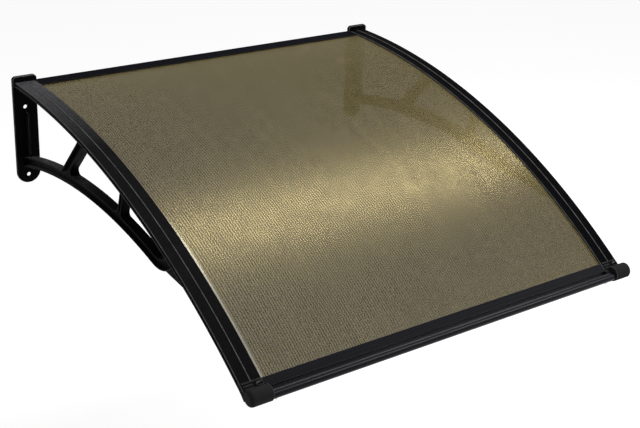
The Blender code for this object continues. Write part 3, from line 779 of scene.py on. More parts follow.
@dataclass(frozen=True)
class BronzePolycarbonate:
    """Bronze see-through sheet whose skins and webs show through each other, with painted light
    and shade in lines at the flute pitch.

    The tinted skins colour what they reflect, which the shader does for its metallic share.
    A painted highlight is the pale strip along the sheet's left edge, and fades towards the wall.
    """

    colour: Colour = (0.215, 0.174, 0.078)
    # Painted shade between the lines of painted light at the flute pitch
    flute_shade: Colour = (0.050, 0.040, 0.018)
    # Painted highlight: a pale strip along the sheet's left edge, fading towards the wall
    strip_highlight: Colour = (0.62, 0.60, 0.50)
    strip_highlight_zone: Range = (-0.4412, -0.4402)
    strip_highlight_fade: Range = (-0.70, -0.57)
    strip_highlight_share: float = 0.5
    tint: Colour = (0.86, 0.80, 0.54)
    alpha: float = 0.50
    metallic: float = 0.5
    shine: float = 0.05
    ior: float = 1.58
    streak: float = 0.09
    streak_stretch: Triple = (1 / FLUTE_PITCH, 1.2, 1.2)
    cloud: float = 14.0
    roughness: Range = (0.26, 0.31)

    def material(self) -> bpy.types.Material:
        """Mix the finish.

        Returns:
            The tinted sheet's material.
        """
        graph = Graph(bpy.data.materials.new("bronze_twin_wall_sheet"))
        place = graph.place()
        # Painted light and shade: lines at the flute pitch, with a random tone per flute
        web = graph.add("ShaderNodeTexWave", Scale=2 * math.pi / (WAVE_BANDS * FLUTE_PITCH))
        graph.link(place, web.inputs["Vector"])
        streak = graph.noise(graph.place(self.streak_stretch), scale=1.0)
        cloud = graph.noise(place, self.cloud, detail=4.0)
        line = graph.figure(
            Rule.ADDED, graph.span(streak, -self.streak, self.streak),
            graph.span(web.outputs["Fac"], low=1.0, high=0.0, start=0.0, end=1.0))
        # Painted highlight along the left edge, faded towards the wall
        strip = graph.span(graph.part("Object", "X"), self.strip_highlight_share, 0, *self.strip_highlight_zone)
        fade = graph.span(graph.part("Object", "Y"), 1, 0, *self.strip_highlight_fade)
        face = graph.mix(line, self.flute_shade, self.colour)
        rim = graph.figure(Rule.MULTIPLIED, strip, fade)
        graph.drive("Base Color", graph.mix(rim, face, self.strip_highlight))
        graph.drive("Roughness", graph.span(cloud, *self.roughness))
        graph.set(IOR=self.ior, Specular_Tint=(*self.tint, 1), Specular_IOR_Level=self.shine,
                  Metallic=self.metallic, Alpha=self.alpha)
        return graph.owner


@dataclass(frozen=True)
class ZincSteel:
    """Bright zinc plate of the screws."""

    colour: Colour = (0.56, 0.56, 0.53)
    dulled: float = 0.8
    grain: float = 420.0
    roughness: Range = (0.26, 0.42)

    def material(self) -> bpy.types.Material:
        """Mix the finish.

        Returns:
            The plated steel's material.
        """
        graph = Graph(bpy.data.materials.new("zinc_plated_steel"))
        cloud = graph.noise(graph.place(), self.grain, detail=3.0)
        dull = tuple(c * self.dulled for c in self.colour)
        graph.drive("Base Color", graph.mix(graph.span(cloud, 0, 1), self.colour, dull))
        graph.drive("Roughness", graph.span(cloud, *self.roughness))
        graph.set(Metallic=1.0)
        return graph.owner


@dataclass(frozen=True)
class RoofArc:
    """The arc that the sheet and the arms follow, with its crown at the wall."""

    radius: float = 1.600

    def angle(self, out: float) -> float:
        """Return the arc's angle at a distance from the wall."""
        return math.asin(out / self.radius)

    def point(self, angle: float, lift: float) -> Vector:
        """Return the (out, up) point at an angle and a lift off the arc."""
        reach = self.radius + lift
        return Vector((reach * math.sin(angle), reach * math.cos(angle) - self.radius))

    def place(self, across: float, angle: float, lift: float) -> Vector:
        """Return the place at a distance across, an angle and a lift."""
        return side_place(self.point(angle, lift), across)

    def height(self, lift: float) -> Line:
        """Return the function that gives the arc's height at a distance from the wall."""
        return lambda out: math.sqrt((self.radius + lift) ** 2 - out ** 2) - self.radius

    def turns(self, out_from: float, out_to: float, count: int) -> list[float]:
        """Return even angles of the arc between two distances from the wall."""
        return evenly(self.angle(out_from), self.angle(out_to), count)

    def run(self, out_from: float, out_to: float, lift: float, count: int) -> Outline:
        """Return even points of the arc between two distances from the wall."""
        return [self.point(angle, lift) for angle in self.turns(out_from, out_to, count)]

    def band(self, out_from: float, out_to: float, low: float, high: float,
             count: int) -> Outline:
        """Return the closed outline between two lifts of the arc."""
        upper = self.run(out_from, out_to, high, count)
        return self.run(out_from, out_to, low, count) + upper[::-1]

    def sweep(self, name: str, loops: Sequence[Outline], out_from: float, out_to: float,
              count: int) -> Item:
        """Build a body that follows the arc.

        Args:
            name: Name of the new object.
            loops: Its (across, lift) loops, the outer loop first.
            out_from: Where it starts, as a distance from the wall.
            out_to: Where it ends.
            count: Number of steps.

        Returns:
            The new object.
        """
        return sweep(name, [[[self.place(point.x, angle, point.y) for point in loop]
                             for loop in loops] for angle in self.turns(out_from, out_to, count)])


@dataclass(frozen=True)
class BossReach:
    """How far a corner boss reaches from its bracket's middle plane, and its outer rounding."""

    outer: float
    inner: float
    rounding: float


@dataclass(frozen=True)
class Fit:
    """Sizes that several pieces share."""

    bracket_spacing: float = 0.940
    gap: float = 0.0003
    sheet_thickness: float = 0.005
    arm_web: float = 0.0045
    arm_end_out: float = 0.945
    tube_screw_across: float = 0.035
    left_boss: BossReach = BossReach(0.0235, 0.024, 0.008)
    right_boss: BossReach = BossReach(0.030, 0.013, 0.002)
    arc: RoofArc = RoofArc()

    def boss(self, side: Side) -> BossReach:
        """Return the reach of one side's corner boss."""
        return self.left_boss if side is Side.LEFT else self.right_boss

    @property
    def slot_half(self) -> float:
        """Return half the height of the slot that takes the sheet."""
        return self.sheet_thickness / 2 + self.gap


@dataclass(frozen=True)
class WallBar:
    """Channel along the wall that holds the sheet's rear edge."""

    fit: Fit = Fit()
    depth: float = 0.038
    back: float = 0.0155
    lip: float = 0.0016
    lip_gap: float = 0.0004
    half_length: float = 0.4465
    screw_out: float = 0.0116
    screw_radius: float = 0.00145
    edge: float = 0.0004

    def drop(self, out: float) -> float:
        """Return how far the bar's slanted lips lie below their edge at the wall."""
        middle = self.depth / 2
        return -self.fit.arc.height(0)(middle) + (out - middle) * middle / self.fit.arc.radius

    def point(self, out: float, lift: float) -> Vector:
        """Return the (out, up) point of a place in the bar's section."""
        return Vector((out, lift - self.drop(out)))

    @property
    def half(self) -> float:
        """Return half the bar's height."""
        return self.fit.sheet_thickness / 2 + self.lip_gap + self.lip

    def seat(self, gap: float, back: float) -> Outline:
        """Draw the seat that the bar's end lies in.

        Args:
            gap: Room round the bar.
            back: Where the seat starts, as a distance from the wall.

        Returns:
            The seat's side outline.
        """
        front, half = self.depth + gap, self.half + gap
        return [self.point(out, lift) for out, lift in
                ((back, half), (back, -half), (front, -half), (front, half))]

    def screw_centre(self) -> Vector:
        """Return the (out, up) centre of the bar's screw channel."""
        return self.point(self.screw_out, 0)

    def build(self, material: bpy.types.Material) -> None:
        """Build the channel with its screw channel.

        Args:
            material: The bar's finish.
        """
        front, back, half, inside = self.depth, self.back, self.half, self.half - self.lip
        section = ((0, half), (0, -half), (front, -half), (front, -inside), (back, -inside),
                   (back, inside), (front, inside), (front, half))
        corners = [(self.point(out, lift), self.edge) for out, lift in section]
        channel = circle(self.screw_centre(), self.screw_radius + self.fit.gap, ROD_STEPS)
        item = side_slab("wall_channel", [rounded(corners, BAR_STEPS), channel], -self.half_length,
                         self.half_length)
        publish(item, "wall_bar", material, Slot.ALUMINIUM)


@dataclass(frozen=True)
class FrontBar:
    """Front extrusion with a clamp for the sheet, a gutter and a round tube."""

    fit: Fit = Fit()
    lip_rear_out: float = 0.929
    lip_length: float = 0.020
    lip_thickness: float = 0.0012
    lip_gap: float = 0.0004
    lip_round: float = 0.0006
    low_lip_round: float = 0.0005
    inner_round: float = 0.0003
    shoulder_round: float = 0.0007
    back_wall: float = 0.0016
    neck: float = 0.0018
    tube_forward: float = 0.0363
    tube_lift: float = 0.0059
    tube_radius: float = 0.0095
    tube_wall: float = 0.0020
    tube_end: float = -90.0 - 360.0
    tube_steps: int = 56
    notch_half: float = 0.020
    screw_radius: float = 0.00175
    screw_hole: float = 0.0155

    @property
    def angle(self) -> float:
        """Return the arc's angle at the middle of the clamp."""
        slope = self.fit.arc.angle(self.lip_rear_out)
        return self.fit.arc.angle(self.lip_rear_out + self.lip_length / 2 * math.cos(slope))

    def point(self, forward: float, lift: float) -> Vector:
        """Find a place of the bar's section.

        Args:
            forward: Distance along the sheet from the rear of the clamp's lip.
            lift: Height off the sheet's middle.

        Returns:
            The (out, up) point.
        """
        along_sheet = Vector((math.cos(self.angle), -math.sin(self.angle)))
        up = Vector((math.sin(self.angle), math.cos(self.angle)))
        middle = self.fit.arc.point(self.angle, 0)
        return middle + along_sheet * (forward - self.lip_length / 2) + up * lift

    def tube_centre(self) -> Vector:
        """Return the (out, up) centre of the tube."""
        return self.point(self.tube_forward, self.tube_lift)

    def sheet_front_out(self) -> float:
        """Return the distance from the wall of the sheet's front edge."""
        return self.point(self.lip_length - self.back_wall - self.fit.gap, 0).x

    def end(self, side: Side) -> float:
        """Return how far the tube reaches towards one side's boss."""
        return self.fit.bracket_spacing / 2 - self.fit.boss(side).inner - self.fit.gap

    def section(self) -> Outline:
        """Draw the extrusion's section: the clamp's top, the tube and the clamp's foot.

        Returns:
            The side outline, without the tube's bore.
        """
        inside = self.fit.sheet_thickness / 2 + self.lip_gap
        top = inside + self.lip_thickness
        floor = self.neck - top
        drop = floor - self.tube_lift
        start = math.degrees(math.atan2(drop, -math.sqrt(self.tube_radius ** 2 - drop ** 2)))
        tube = arc_points((self.tube_forward, self.tube_lift), self.tube_radius, start,
                          self.tube_end, self.tube_steps)
        end, stop = self.lip_length, self.lip_length - self.back_wall
        tight, shoulder = self.inner_round, self.shoulder_round
        corners = [(0, inside, tight), (0, top, self.lip_round), (end, top, shoulder),
                   (end, floor, shoulder)]
        corners += [(point.x, point.y, 0.0) for point in tube]
        corners += [(end, -top, 0.0), (0, -top, self.low_lip_round), (0, -inside, tight),
                    (stop, -inside, tight), (stop, inside, tight)]
        return rounded([(self.point(x, y), radius) for x, y, radius in corners], BAR_STEPS)

    def screw_rod(self, name: str, across: float) -> Item:
        """Build an upright rod as wide as the front screw's hole.

        Args:
            name: Name of the new object.
            across: Distance across the part.

        Returns:
            The rod, which cuts the hole.
        """
        centre = self.tube_centre()
        low = centre.y - self.tube_radius - CUT_CLEAR
        rod = circle((across, -centre.x), self.screw_radius + self.fit.gap, ROD_STEPS)
        return slab(name, [rod], low, low + self.screw_hole, level_place)

    def build(self, material: bpy.types.Material) -> None:
        """Build the extrusion with a screw hole near each end of its tube.

        Args:
            material: The bar's finish.
        """
        bore = circle(self.tube_centre(), self.tube_radius - self.tube_wall, BORE_STEPS)
        left, right = self.end(Side.LEFT), self.end(Side.RIGHT)
        item = side_slab("front_extrusion", [self.section(), bore], -left, right)
        rear, front, half = -CUT_CLEAR, self.tube_forward - self.tube_radius, self.notch_half
        notch = [self.point(forward, lift) for forward, lift in
                 ((rear, -half), (front, -half), (front, half), (rear, half))]
        cutters = [side_slab("clamp_notch", [notch], left, right + CUT_CLEAR)]
        for side in Side:
            across = -side.value * (self.fit.bracket_spacing / 2 - self.fit.tube_screw_across)
            cutters.append(self.screw_rod(f"tube_hole_{side.word}", across))
        combine(item, cutters, Operation.CUT)
        publish(item, "front_bar", material, Slot.ALUMINIUM)


@dataclass(frozen=True)
class RoofSheet:
    """Twin-wall sheet: two skins joined by webs, with open flutes between them."""

    fit: Fit = Fit()
    skin: float = 0.0005
    web: float = 0.0004
    edge_gap: float = 0.0007
    sink: float = 0.00007
    sink_half: float = 0.0008
    rear_out: float = 0.0158
    stations: int = 44

    def section(self) -> list[Outline]:
        """Draw the sheet's section, whose top sinks a little over each web.

        Returns:
            The (across, lift) outline, then the flutes.
        """
        half_width = self.fit.bracket_spacing / 2 - self.fit.arm_web / 2 - self.edge_gap
        top = self.fit.sheet_thickness / 2
        count = int((2 * half_width - self.web) / FLUTE_PITCH)
        first = -count * FLUTE_PITCH / 2
        webs = [first + number * FLUTE_PITCH for number in range(count + 1)]
        outer = [(half_width, -top), (-half_width, -top), (-half_width, top)]
        for across in webs[1:-1]:
            outer += [(across - self.sink_half, top), (across, top - self.sink),
                      (across + self.sink_half, top)]
        outer.append((half_width, top))
        loops = [outer]
        for across in webs[:-1]:
            left, right = across + self.web / 2, across + FLUTE_PITCH - self.web / 2
            low, high = self.skin - top, top - self.skin
            loops.append([(left, low), (left, high), (right, high), (right, low)])
        return [[Vector(point) for point in loop] for loop in loops]

    def build(self, front_out: float, material: bpy.types.Material) -> None:
        """Build the sheet.

        Args:
            front_out: How far its front edge lies from the wall.
            material: The sheet's finish.
        """
        item = self.fit.arc.sweep("twin_wall_sheet", self.section(), self.rear_out, front_out,
                                  self.stations)
        publish(item, "roof_sheet", material, Slot.SHEET)


@dataclass(frozen=True)
class Strut:
    """A slanted strut, by its middle's place on its foot line, its slope and its thickness."""

    out: float
    foot: float
    slope: float
    thickness: float

    def side(self, sign: int) -> Line:
        """Follow one side of the strut.

        Args:
            sign: -1 for the side nearer the wall, 1 for the other.

        Returns:
            The function that gives the side's distance from the wall at a height.
        """
        angle = math.radians(self.slope)
        return lambda up: (self.out + (up - self.foot) / math.tan(angle)
                           + sign * self.thickness / 2 / math.sin(angle))


@dataclass(frozen=True)
class Lattice:
    """Brace arch and struts below a bracket's arm.

    The roots are how far the web, the pockets and the fin reach into the arm.
    """

    arc: RoofArc = RoofArc()
    arm_low: float = -0.0056
    width: float = 0.021
    web: float = 0.004
    rim: float = 0.003
    radius: float = 1.150
    depth: float = 0.0225
    apex_out: float = 0.303
    apex_up: float = -0.158
    end_out: float = 0.600
    end_radius: float = 0.075
    end_steps: int = 16
    rear_strut: Strut = Strut(0.215, -0.140, 47.5, 0.021)
    front_strut: Strut = Strut(0.462, -0.150, 75.0, 0.013)
    rear_corner: float = 0.013
    corner: float = 0.010
    front_corner: float = 0.008
    joint_corner: float = 0.020
    clearance: float = 2.5
    wall_side: float = 0.020
    plate: float = 0.005
    buried: float = 0.0004
    web_root: float = 0.0020
    pocket_root: float = 0.0012
    fin_root: float = 0.0016
    edge: float = 0.0005
    crest_top: float = -0.066
    crest_corner: float = 0.006
    stiffener: float = 0.0036
    fin_slope: float = -0.12
    fin_limit: float = 0.8

    def brace(self, lift: float) -> Line:
        """Follow the brace arch.

        Args:
            lift: Height off the arch's lower edge.

        Returns:
            The function that gives its height at a distance from the wall.
        """
        centre_up = self.apex_up - self.radius
        return lambda out: centre_up + math.sqrt(
            (self.radius + lift) ** 2 - (out - self.apex_out) ** 2)

    def end_points(self, lift: float, roof_lift: float) -> Outline:
        """Draw the arc that turns the brace up into the arm.

        Args:
            lift: Lift off the brace.
            roof_lift: Lift off the roof's arc at which the arc ends.

        Returns:
            The points of the arc, from the brace up.
        """
        start = Vector((self.end_out, self.brace(0)(self.end_out)))
        upward = (start - Vector((self.apex_out, self.apex_up - self.radius))).normalized()
        centre = start + upward * self.end_radius
        slope = math.degrees(math.atan2(-upward.y, -upward.x))
        radius = self.end_radius - lift
        inside = self.arc.height(roof_lift)

        def below_arm(angle: float) -> bool:
            """Tell whether the arc's point at an angle still lies below the arm."""
            point = arc_points(centre, radius, angle, angle, 1)[0]
            return point.y < inside(point.x)

        return arc_points(centre, radius, slope, crossing(below_arm, slope, 0.0), self.end_steps)

    def outline(self, lift: float, roof_lift: float, out_from: float) -> Outline:
        """Draw the area between the brace and the arm.

        Args:
            lift: Lift of its lower edge off the brace.
            roof_lift: Lift of its upper edge off the roof's arc.
            out_from: Where it starts, as a distance from the wall.

        Returns:
            The side outline.
        """
        end = self.end_points(lift, roof_lift)
        upper = along(self.arc.height(roof_lift), end[-1].x, out_from)[1:]
        return along(self.brace(lift), out_from, self.end_out)[:-1] + end + upper

    def windows(self) -> list[Outline]:
        """Draw the three windows.

        Returns:
            Their side outlines, the one at the wall first.
        """
        top, bottom = self.arc.height(self.arm_low + self.buried), self.brace(self.depth)
        sides = [strut.side(sign) for strut in (self.rear_strut, self.front_strut)
                 for sign in (-1, 1)]
        low = [meet(side, bottom) for side in sides]
        high = [meet(side, top) for side in sides]
        clear = self.clearance * self.rear_corner
        rear = sharp(along(bottom, -self.wall_side, low[0].x - clear))
        rear += [(low[0], self.rear_corner), (high[0], self.rear_corner)]
        rear += sharp(along(top, high[0].x - clear, -self.wall_side))
        clear = self.clearance * self.corner
        middle = [(low[1], self.corner)] + between(bottom, low[1], low[2], clear)
        middle += [(low[2], self.joint_corner), (high[2], self.corner)]
        middle += between(top, high[2], high[1], clear) + [(high[1], self.corner)]
        clear = self.clearance * self.front_corner
        end = self.end_points(self.depth, self.arm_low + self.buried)
        tip = end[-1]
        kept = [point for point in end if (point - tip).length > clear]
        front = [(low[3], self.front_corner)]
        front += sharp(along(bottom, low[3].x + clear, self.end_out)[:-1] + kept)
        front += [(tip, self.front_corner)] + between(top, tip, high[3], clear)
        front += [(high[3], self.front_corner)]
        return [rounded(corners, WIDE_STEPS) for corners in (rear, middle, front)]

    def pocket(self, name: str, sign: int, windows: list[Outline]) -> Item:
        """Build the pocket that leaves the web and the rims on one side.

        Args:
            name: Name of the new object.
            sign: 1 for the right side of the web, -1 for its left side.
            windows: Outlines of the windows, which keep a rim.

        Returns:
            The pocket, which is cut out.
        """
        reach = self.width / 2 + CUT_CLEAR
        loop = self.outline(self.rim, self.arm_low + self.pocket_root, -self.wall_side)
        pocket = side_slab(name, [loop], self.web / 2, reach, sign)
        rims = [side_slab(f"{name}_rim_{number}", [grown(window, self.rim)], self.web / 4,
                          reach + CUT_CLEAR, sign) for number, window in enumerate(windows)]
        combine(pocket, rims, Operation.CUT)
        return pocket

    def body(self) -> Item:
        """Build the web with rims round its windows.

        Returns:
            The lattice without its crest and fin.
        """
        half, windows = self.width / 2, self.windows()
        loop = self.outline(0, self.arm_low + self.web_root, self.plate / 2)
        item = side_slab("lattice", [loop], -half, half, edges=(self.edge, self.edge))
        tools = [self.pocket(f"pocket_{sign}", sign, windows) for sign in (-1, 1)]
        tools += [side_slab(f"window_{number}", [window], -half - CUT_CLEAR, half + CUT_CLEAR)
                  for number, window in enumerate(windows)]
        combine(item, tools, Operation.CUT)
        return item

    def crest(self) -> Item:
        """Build the upright stiffening web on the wall plate.

        Returns:
            The crest.
        """
        foot, half = self.brace(self.depth - self.rim / 2)(self.wall_side), self.stiffener / 2
        rear, front, top = self.plate / 2, self.wall_side, self.crest_top
        corners = corners_at((rear, top, 0.0), (rear, foot, 0.0), (front, foot, 0.0),
                             (front, top, self.crest_corner))
        return side_slab("crest", [rounded(corners, WIDE_STEPS)], -half, half,
                         edges=(SOFT_EDGE, SOFT_EDGE))

    def fin(self) -> Item:
        """Build the tapering fin between the brace's end and the arm.

        Returns:
            The fin.
        """
        start = Vector((self.end_out, self.brace(self.rim / 2)(self.end_out)))
        low = Vector((self.end_out, self.brace(0)(self.end_out)))
        top = self.arc.height(self.arm_low + self.fin_root)
        tip = crossing(lambda out: low.y + self.fin_slope * (out - low.x) < top(out),
                       self.end_out, self.fin_limit)
        entry = self.end_points(self.rim / 2, self.arm_low + self.fin_root)
        loop = [start, Vector((low.x, low.y + self.buried)), Vector((tip, top(tip)))]
        loop += along(top, tip, entry[-1].x)[1:] + entry[-2:0:-1]
        return side_slab("fin", [loop], -self.stiffener / 2, self.stiffener / 2)


@dataclass(frozen=True)
class Bracket:
    """One moulded side bracket with its wall plate, arm, lattice and corner boss."""

    side: Side
    fit: Fit = Fit()
    wall_bar: WallBar = WallBar()
    front_bar: FrontBar = FrontBar()
    lattice: Lattice = Lattice()
    buried: float = 0.0004
    inset: float = 0.0001
    arm_width: float = 0.047
    arm_edge: float = 0.0006
    arm_top_edge: float = 0.0012
    top_flange: float = 0.0025
    low_flange: float = 0.0028
    arm_low_end_out: float = 0.932
    outer_slot_end_out: float = 0.926
    block_overlap: float = 0.0012
    slant_reach: float = 0.010
    slant_depth: float = 0.030
    ridge_width: float = 0.0020
    ridge_height: float = 0.0010
    ridge_rounding: float = 0.0007
    rib_outs: tuple[float, ...] = (0.930, 0.935, 0.940)
    rib_width: float = 0.0020
    rib_height: float = 0.0008
    rib_rounding: float = 0.0005
    rib_length: float = 0.019
    rib_stub: float = 0.0008
    tongue_near: float = 0.0085
    tongue_far: float = 0.0225
    tongue_out: float = 0.93625
    tongue_length: float = 0.0075
    tongue_fullness: float = 0.98
    plate_width: float = 0.057
    plate_thickness: float = 0.005
    plate_top: float = 0.0185
    plate_height: float = 0.256
    plate_back_edge: float = 0.0003
    plate_edge: float = 0.0010
    upstand_thickness: float = 0.0085
    upstand_foot: float = -0.003
    upstand_corner: float = 0.008
    upstand_edge: float = 0.0012
    wall_holes: tuple[float, ...] = (-0.055, -0.218)
    hole_radius: float = 0.0048
    sink_radius: float = 0.0075
    sink_depth: float = 0.0012
    boss_radius: float = 0.01649
    boss_shift: Range = (-0.0035, 0.0034)
    boss_inner_edge: float = 0.0006
    boss_foot_out: float = 0.925
    boss_foot_inset: float = 0.0012
    boss_foot_root: Range = (-0.012, 0.006)
    cradle_rear: float = 0.002
    cradle_face: Range = (130, 195)
    cradle_face_steps: int = 12
    cradle_neck: Range = (-0.0020, -0.0045)
    cradle_foot: float = 0.0008
    cradle_overlap: Range = (0.0008, 0.0005)
    spigot_end: float = 0.044
    spigot_root: float = 0.004
    spigot_edge: float = 0.0008
    raised_from: float = 0.0002

    @property
    def arm_top(self) -> float:
        """Return the lift of the arm's top face."""
        return self.fit.slot_half + self.top_flange

    @property
    def arm_low(self) -> float:
        """Return the lift of the arm's lower face."""
        return -self.fit.slot_half - self.low_flange

    def arm_blocks(self, start: float) -> list[Item]:
        """Build the blocks that close the sheet's slots at the arm's ends.

        Args:
            start: Where the arm starts, as a distance from the wall.

        Returns:
            A block for each end of each slot.
        """
        inward, arc, end_out = self.side.value, self.fit.arc, self.fit.arm_end_out
        half, slot = self.arm_width / 2 - self.inset, self.fit.slot_half + self.block_overlap
        ends = (
            (inward, start, self.wall_bar.back),
            (-inward, start, self.upstand_thickness + self.fit.gap),
            (inward, self.front_bar.sheet_front_out() + self.fit.gap, end_out),
            (-inward, self.outer_slot_end_out, end_out),
        )
        blocks = []
        for number, (sign, out_from, out_to) in enumerate(ends):
            near, far = sorted((0.0, sign * half))
            blocks.append(arc.sweep(f"arm_end_{number}", [rectangle(near, far, -slot, slot)],
                                    out_from, out_to - self.inset, 2))
        return blocks

    def arm(self) -> Item:
        """Build the arm: an H section along the arc, closed at its ends and slanted in front.

        Returns:
            The arm without its ridge and ribs.
        """
        half, slot, web = self.arm_width / 2, self.fit.slot_half, self.fit.arm_web / 2
        edge = self.arm_edge
        right = [(half, self.arm_top, self.arm_top_edge), (half, slot, edge), (web, slot, edge),
                 (web, -slot, edge), (half, -slot, edge), (half, self.arm_low, edge)]
        left = [(-across, lift, radius) for across, lift, radius in right[::-1]]
        arc, start, end_out = self.fit.arc, self.plate_thickness / 2, self.fit.arm_end_out
        loop = rounded(corners_at(*right, *left), EDGE_STEPS)
        arm = arc.sweep("arm", [loop], start, end_out, ARC_STEPS)
        combine(arm, self.arm_blocks(start), Operation.JOIN)
        low = arc.point(arc.angle(self.arm_low_end_out), self.arm_low)
        high = arc.point(arc.angle(end_out), self.arm_top)
        slope = (high - low).normalized() * self.slant_reach
        ahead = Vector((self.slant_depth, 0))
        slant = [low - slope, low - slope + ahead, high + slope + ahead, high + slope]
        cutter = side_slab("arm_slant", [slant], -self.arm_width, self.arm_width)
        combine(arm, [cutter], Operation.CUT)
        return arm

    def ridge(self) -> Item:
        """Build the fine ridge along the middle of the arm.

        Returns:
            The ridge.
        """
        half, low, high = self.ridge_width / 2, self.arm_top / 2, self.arm_top + self.ridge_height
        corners = corners_at((-half, low, 0.0), (half, low, 0.0),
                             (half, high, self.ridge_rounding), (-half, high, self.ridge_rounding))
        return self.fit.arc.sweep("ridge", [rounded(corners, EDGE_STEPS)], self.plate_thickness,
                                  self.rib_outs[0], ARC_STEPS)

    def ribs(self) -> list[Item]:
        """Build the cross ribs and the tongue on the arm's front end.

        Returns:
            The ribs, the first of which reaches past the tongue, then the tongue.
        """
        arc, low, high = self.fit.arc, self.arm_top / 2, self.arm_top + self.rib_height
        near, far, half = self.tongue_near, self.tongue_far, self.tongue_length / 2
        full, angle = half * self.tongue_fullness, arc.angle(self.tongue_out)
        radii = (0.0, 0.0, self.rib_rounding, self.rib_rounding)
        ribs = []
        for number, out in enumerate(self.rib_outs):
            band = arc.band(out - self.rib_width / 2, out + self.rib_width / 2, low, high, 1)
            loop = rounded(list(zip(band, radii)), EDGE_STEPS)
            ribs.append(side_slab(f"cross_rib_{number}", [loop], -self.rib_length,
                                  self.rib_stub if number else far, edges=(SOFT_EDGE, SOFT_EDGE)))

        def on_arm(point: Vector, lift: float) -> Vector:
            """Return the place of the tongue's (across, along) point at a lift."""
            return arc.place(point.x, angle + point.y / arc.radius, lift)

        corners = corners_at((far, -half, 0.0), (far, half, 0.0), (near, half, full),
                             (near, -half, full))
        ribs.append(slab("tongue", [rounded(corners, WIDE_STEPS)], low, high, on_arm,
                         (0.0, SOFT_EDGE)))
        return ribs

    def wall_plate(self) -> list[Item]:
        """Build the wall plate with its screw holes, and the thicker upstand.

        Returns:
            The plate and the upstand.
        """
        half, foot, corner = self.plate_width / 2, self.upstand_foot, self.upstand_corner
        low_round = self.plate_top - self.plate_height + half
        top = corners_at((half, self.plate_top, corner), (-half, self.plate_top, corner))
        low = sharp(arc_points((0, low_round), half, 180, 360, BORE_STEPS))
        holes = [circle((0, up), self.hole_radius, BORE_STEPS) for up in self.wall_holes]
        plate = slab("plate", [rounded(top + low, WIDE_STEPS), *holes], 0, self.plate_thickness,
                     front_place, (self.plate_back_edge, self.plate_edge), BAR_STEPS)
        sinks = [slab(f"sink_{number}", [circle((0, up), self.sink_radius, BORE_STEPS)],
                      self.plate_thickness - self.sink_depth, self.plate_thickness + CUT_CLEAR,
                      front_place) for number, up in enumerate(self.wall_holes)]
        combine(plate, sinks, Operation.CUT)
        low = corners_at((-half, foot, 0.0), (half, foot, 0.0))
        upstand = slab("upstand", [rounded(top + low, WIDE_STEPS)], 0, self.upstand_thickness,
                       front_place, (self.plate_back_edge, self.upstand_edge), BAR_STEPS)
        return [plate, upstand]

    def boss(self) -> list[Item]:
        """Build the corner boss, its foot under the arm and the spigot.

        Returns:
            These pieces, and the cradle where the boss ends short of the arm's inner side.
        """
        inward, reach, arc = self.side.value, self.fit.boss(self.side), self.fit.arc
        tube, bar = self.front_bar.tube_centre(), self.front_bar
        centre = tube + Vector(self.boss_shift)
        edges = (reach.rounding, self.boss_inner_edge)
        pieces = [side_slab("boss", [circle(centre, self.boss_radius, ARC_STEPS)], -reach.outer,
                            reach.inner, inward, edges, WIDE_STEPS)]
        foot_up = arc.height(self.arm_low + self.buried)(self.boss_foot_out)
        foot = Vector((self.boss_foot_out, foot_up))
        away = foot - centre
        opening = math.degrees(math.acos(self.boss_radius / away.length))
        last = math.degrees(math.atan2(away.y, away.x)) + opening
        low = arc_points(centre, self.boss_radius - self.inset, last, last, 1)[0]
        back, rise = self.boss_foot_root
        loop = [foot, low, centre, Vector((centre.x + back, centre.y + rise))]
        inside = min(reach.outer, self.arm_width / 2) - self.boss_foot_inset
        pieces.append(side_slab("boss_foot", [loop], -inside, reach.inner - self.buried, inward))
        if reach.inner < self.arm_width / 2:
            pieces.append(self.cradle(tube, reach.inner))
        radius = bar.tube_radius - bar.tube_wall - self.fit.gap
        pieces.append(side_slab("spigot", [circle(tube, radius, BORE_STEPS)],
                                reach.inner - self.spigot_root, self.spigot_end, inward,
                                (self.spigot_edge, self.spigot_edge)))
        return pieces

    def cradle(self, tube: Vector, inner: float) -> Item:
        """Build the low wall between the arm's end and the tube.

        Args:
            tube: The (out, up) centre of the tube.
            inner: How far the boss reaches inwards.

        Returns:
            The wall beside the boss.
        """
        arc, bar, gap, end_out = self.fit.arc, self.front_bar, self.fit.gap, self.fit.arm_end_out
        rear, top = arc.angle(end_out - self.cradle_rear), self.arm_top - self.buried
        face = arc_points(tube, bar.tube_radius + gap, *self.cradle_face, self.cradle_face_steps)
        neck_end = bar.tube_forward - bar.tube_radius - gap
        loop = [arc.point(rear, top), arc.point(arc.angle(end_out), top), *face]
        loop += [bar.point(neck_end, lift) for lift in self.cradle_neck]
        loop.append(arc.point(rear, self.arm_low + self.cradle_foot))
        in_boss, past_arm = self.cradle_overlap
        return side_slab("cradle", [loop], inner - in_boss, self.arm_width / 2 + past_arm,
                         self.side.value)

    def cutters(self) -> list[Item]:
        """Build the cutters of the wall bar's seat and of the screw holes.

        Returns:
            The cutters.
        """
        inward, gap, bar = self.side.value, self.fit.gap, self.wall_bar
        seat = side_slab("bar_seat", [bar.seat(gap, -CUT_CLEAR)], self.arm_width / 2 - gap,
                         self.plate_width / 2 + CUT_CLEAR, inward)
        rod = circle(bar.screw_centre(), bar.screw_radius + gap, ROD_STEPS)
        across = side_slab("side_screw_hole", [rod], -self.arm_width, self.arm_width)
        upright = self.front_bar.screw_rod("tube_screw_hole", inward * self.fit.tube_screw_across)
        return [seat, across, upright]

    def raised(self, place: Vector) -> bool:
        """Tell whether a place lies on the ridge or on a cross rib.

        Args:
            place: A place on the bracket.

        Returns:
            Whether it lies above the arm's top face.
        """
        if not self.upstand_thickness < -place.y < self.fit.arm_end_out:
            return False
        radius = math.hypot(place.y, place.z + self.fit.arc.radius)
        return radius > self.fit.arc.radius + self.arm_top + self.raised_from

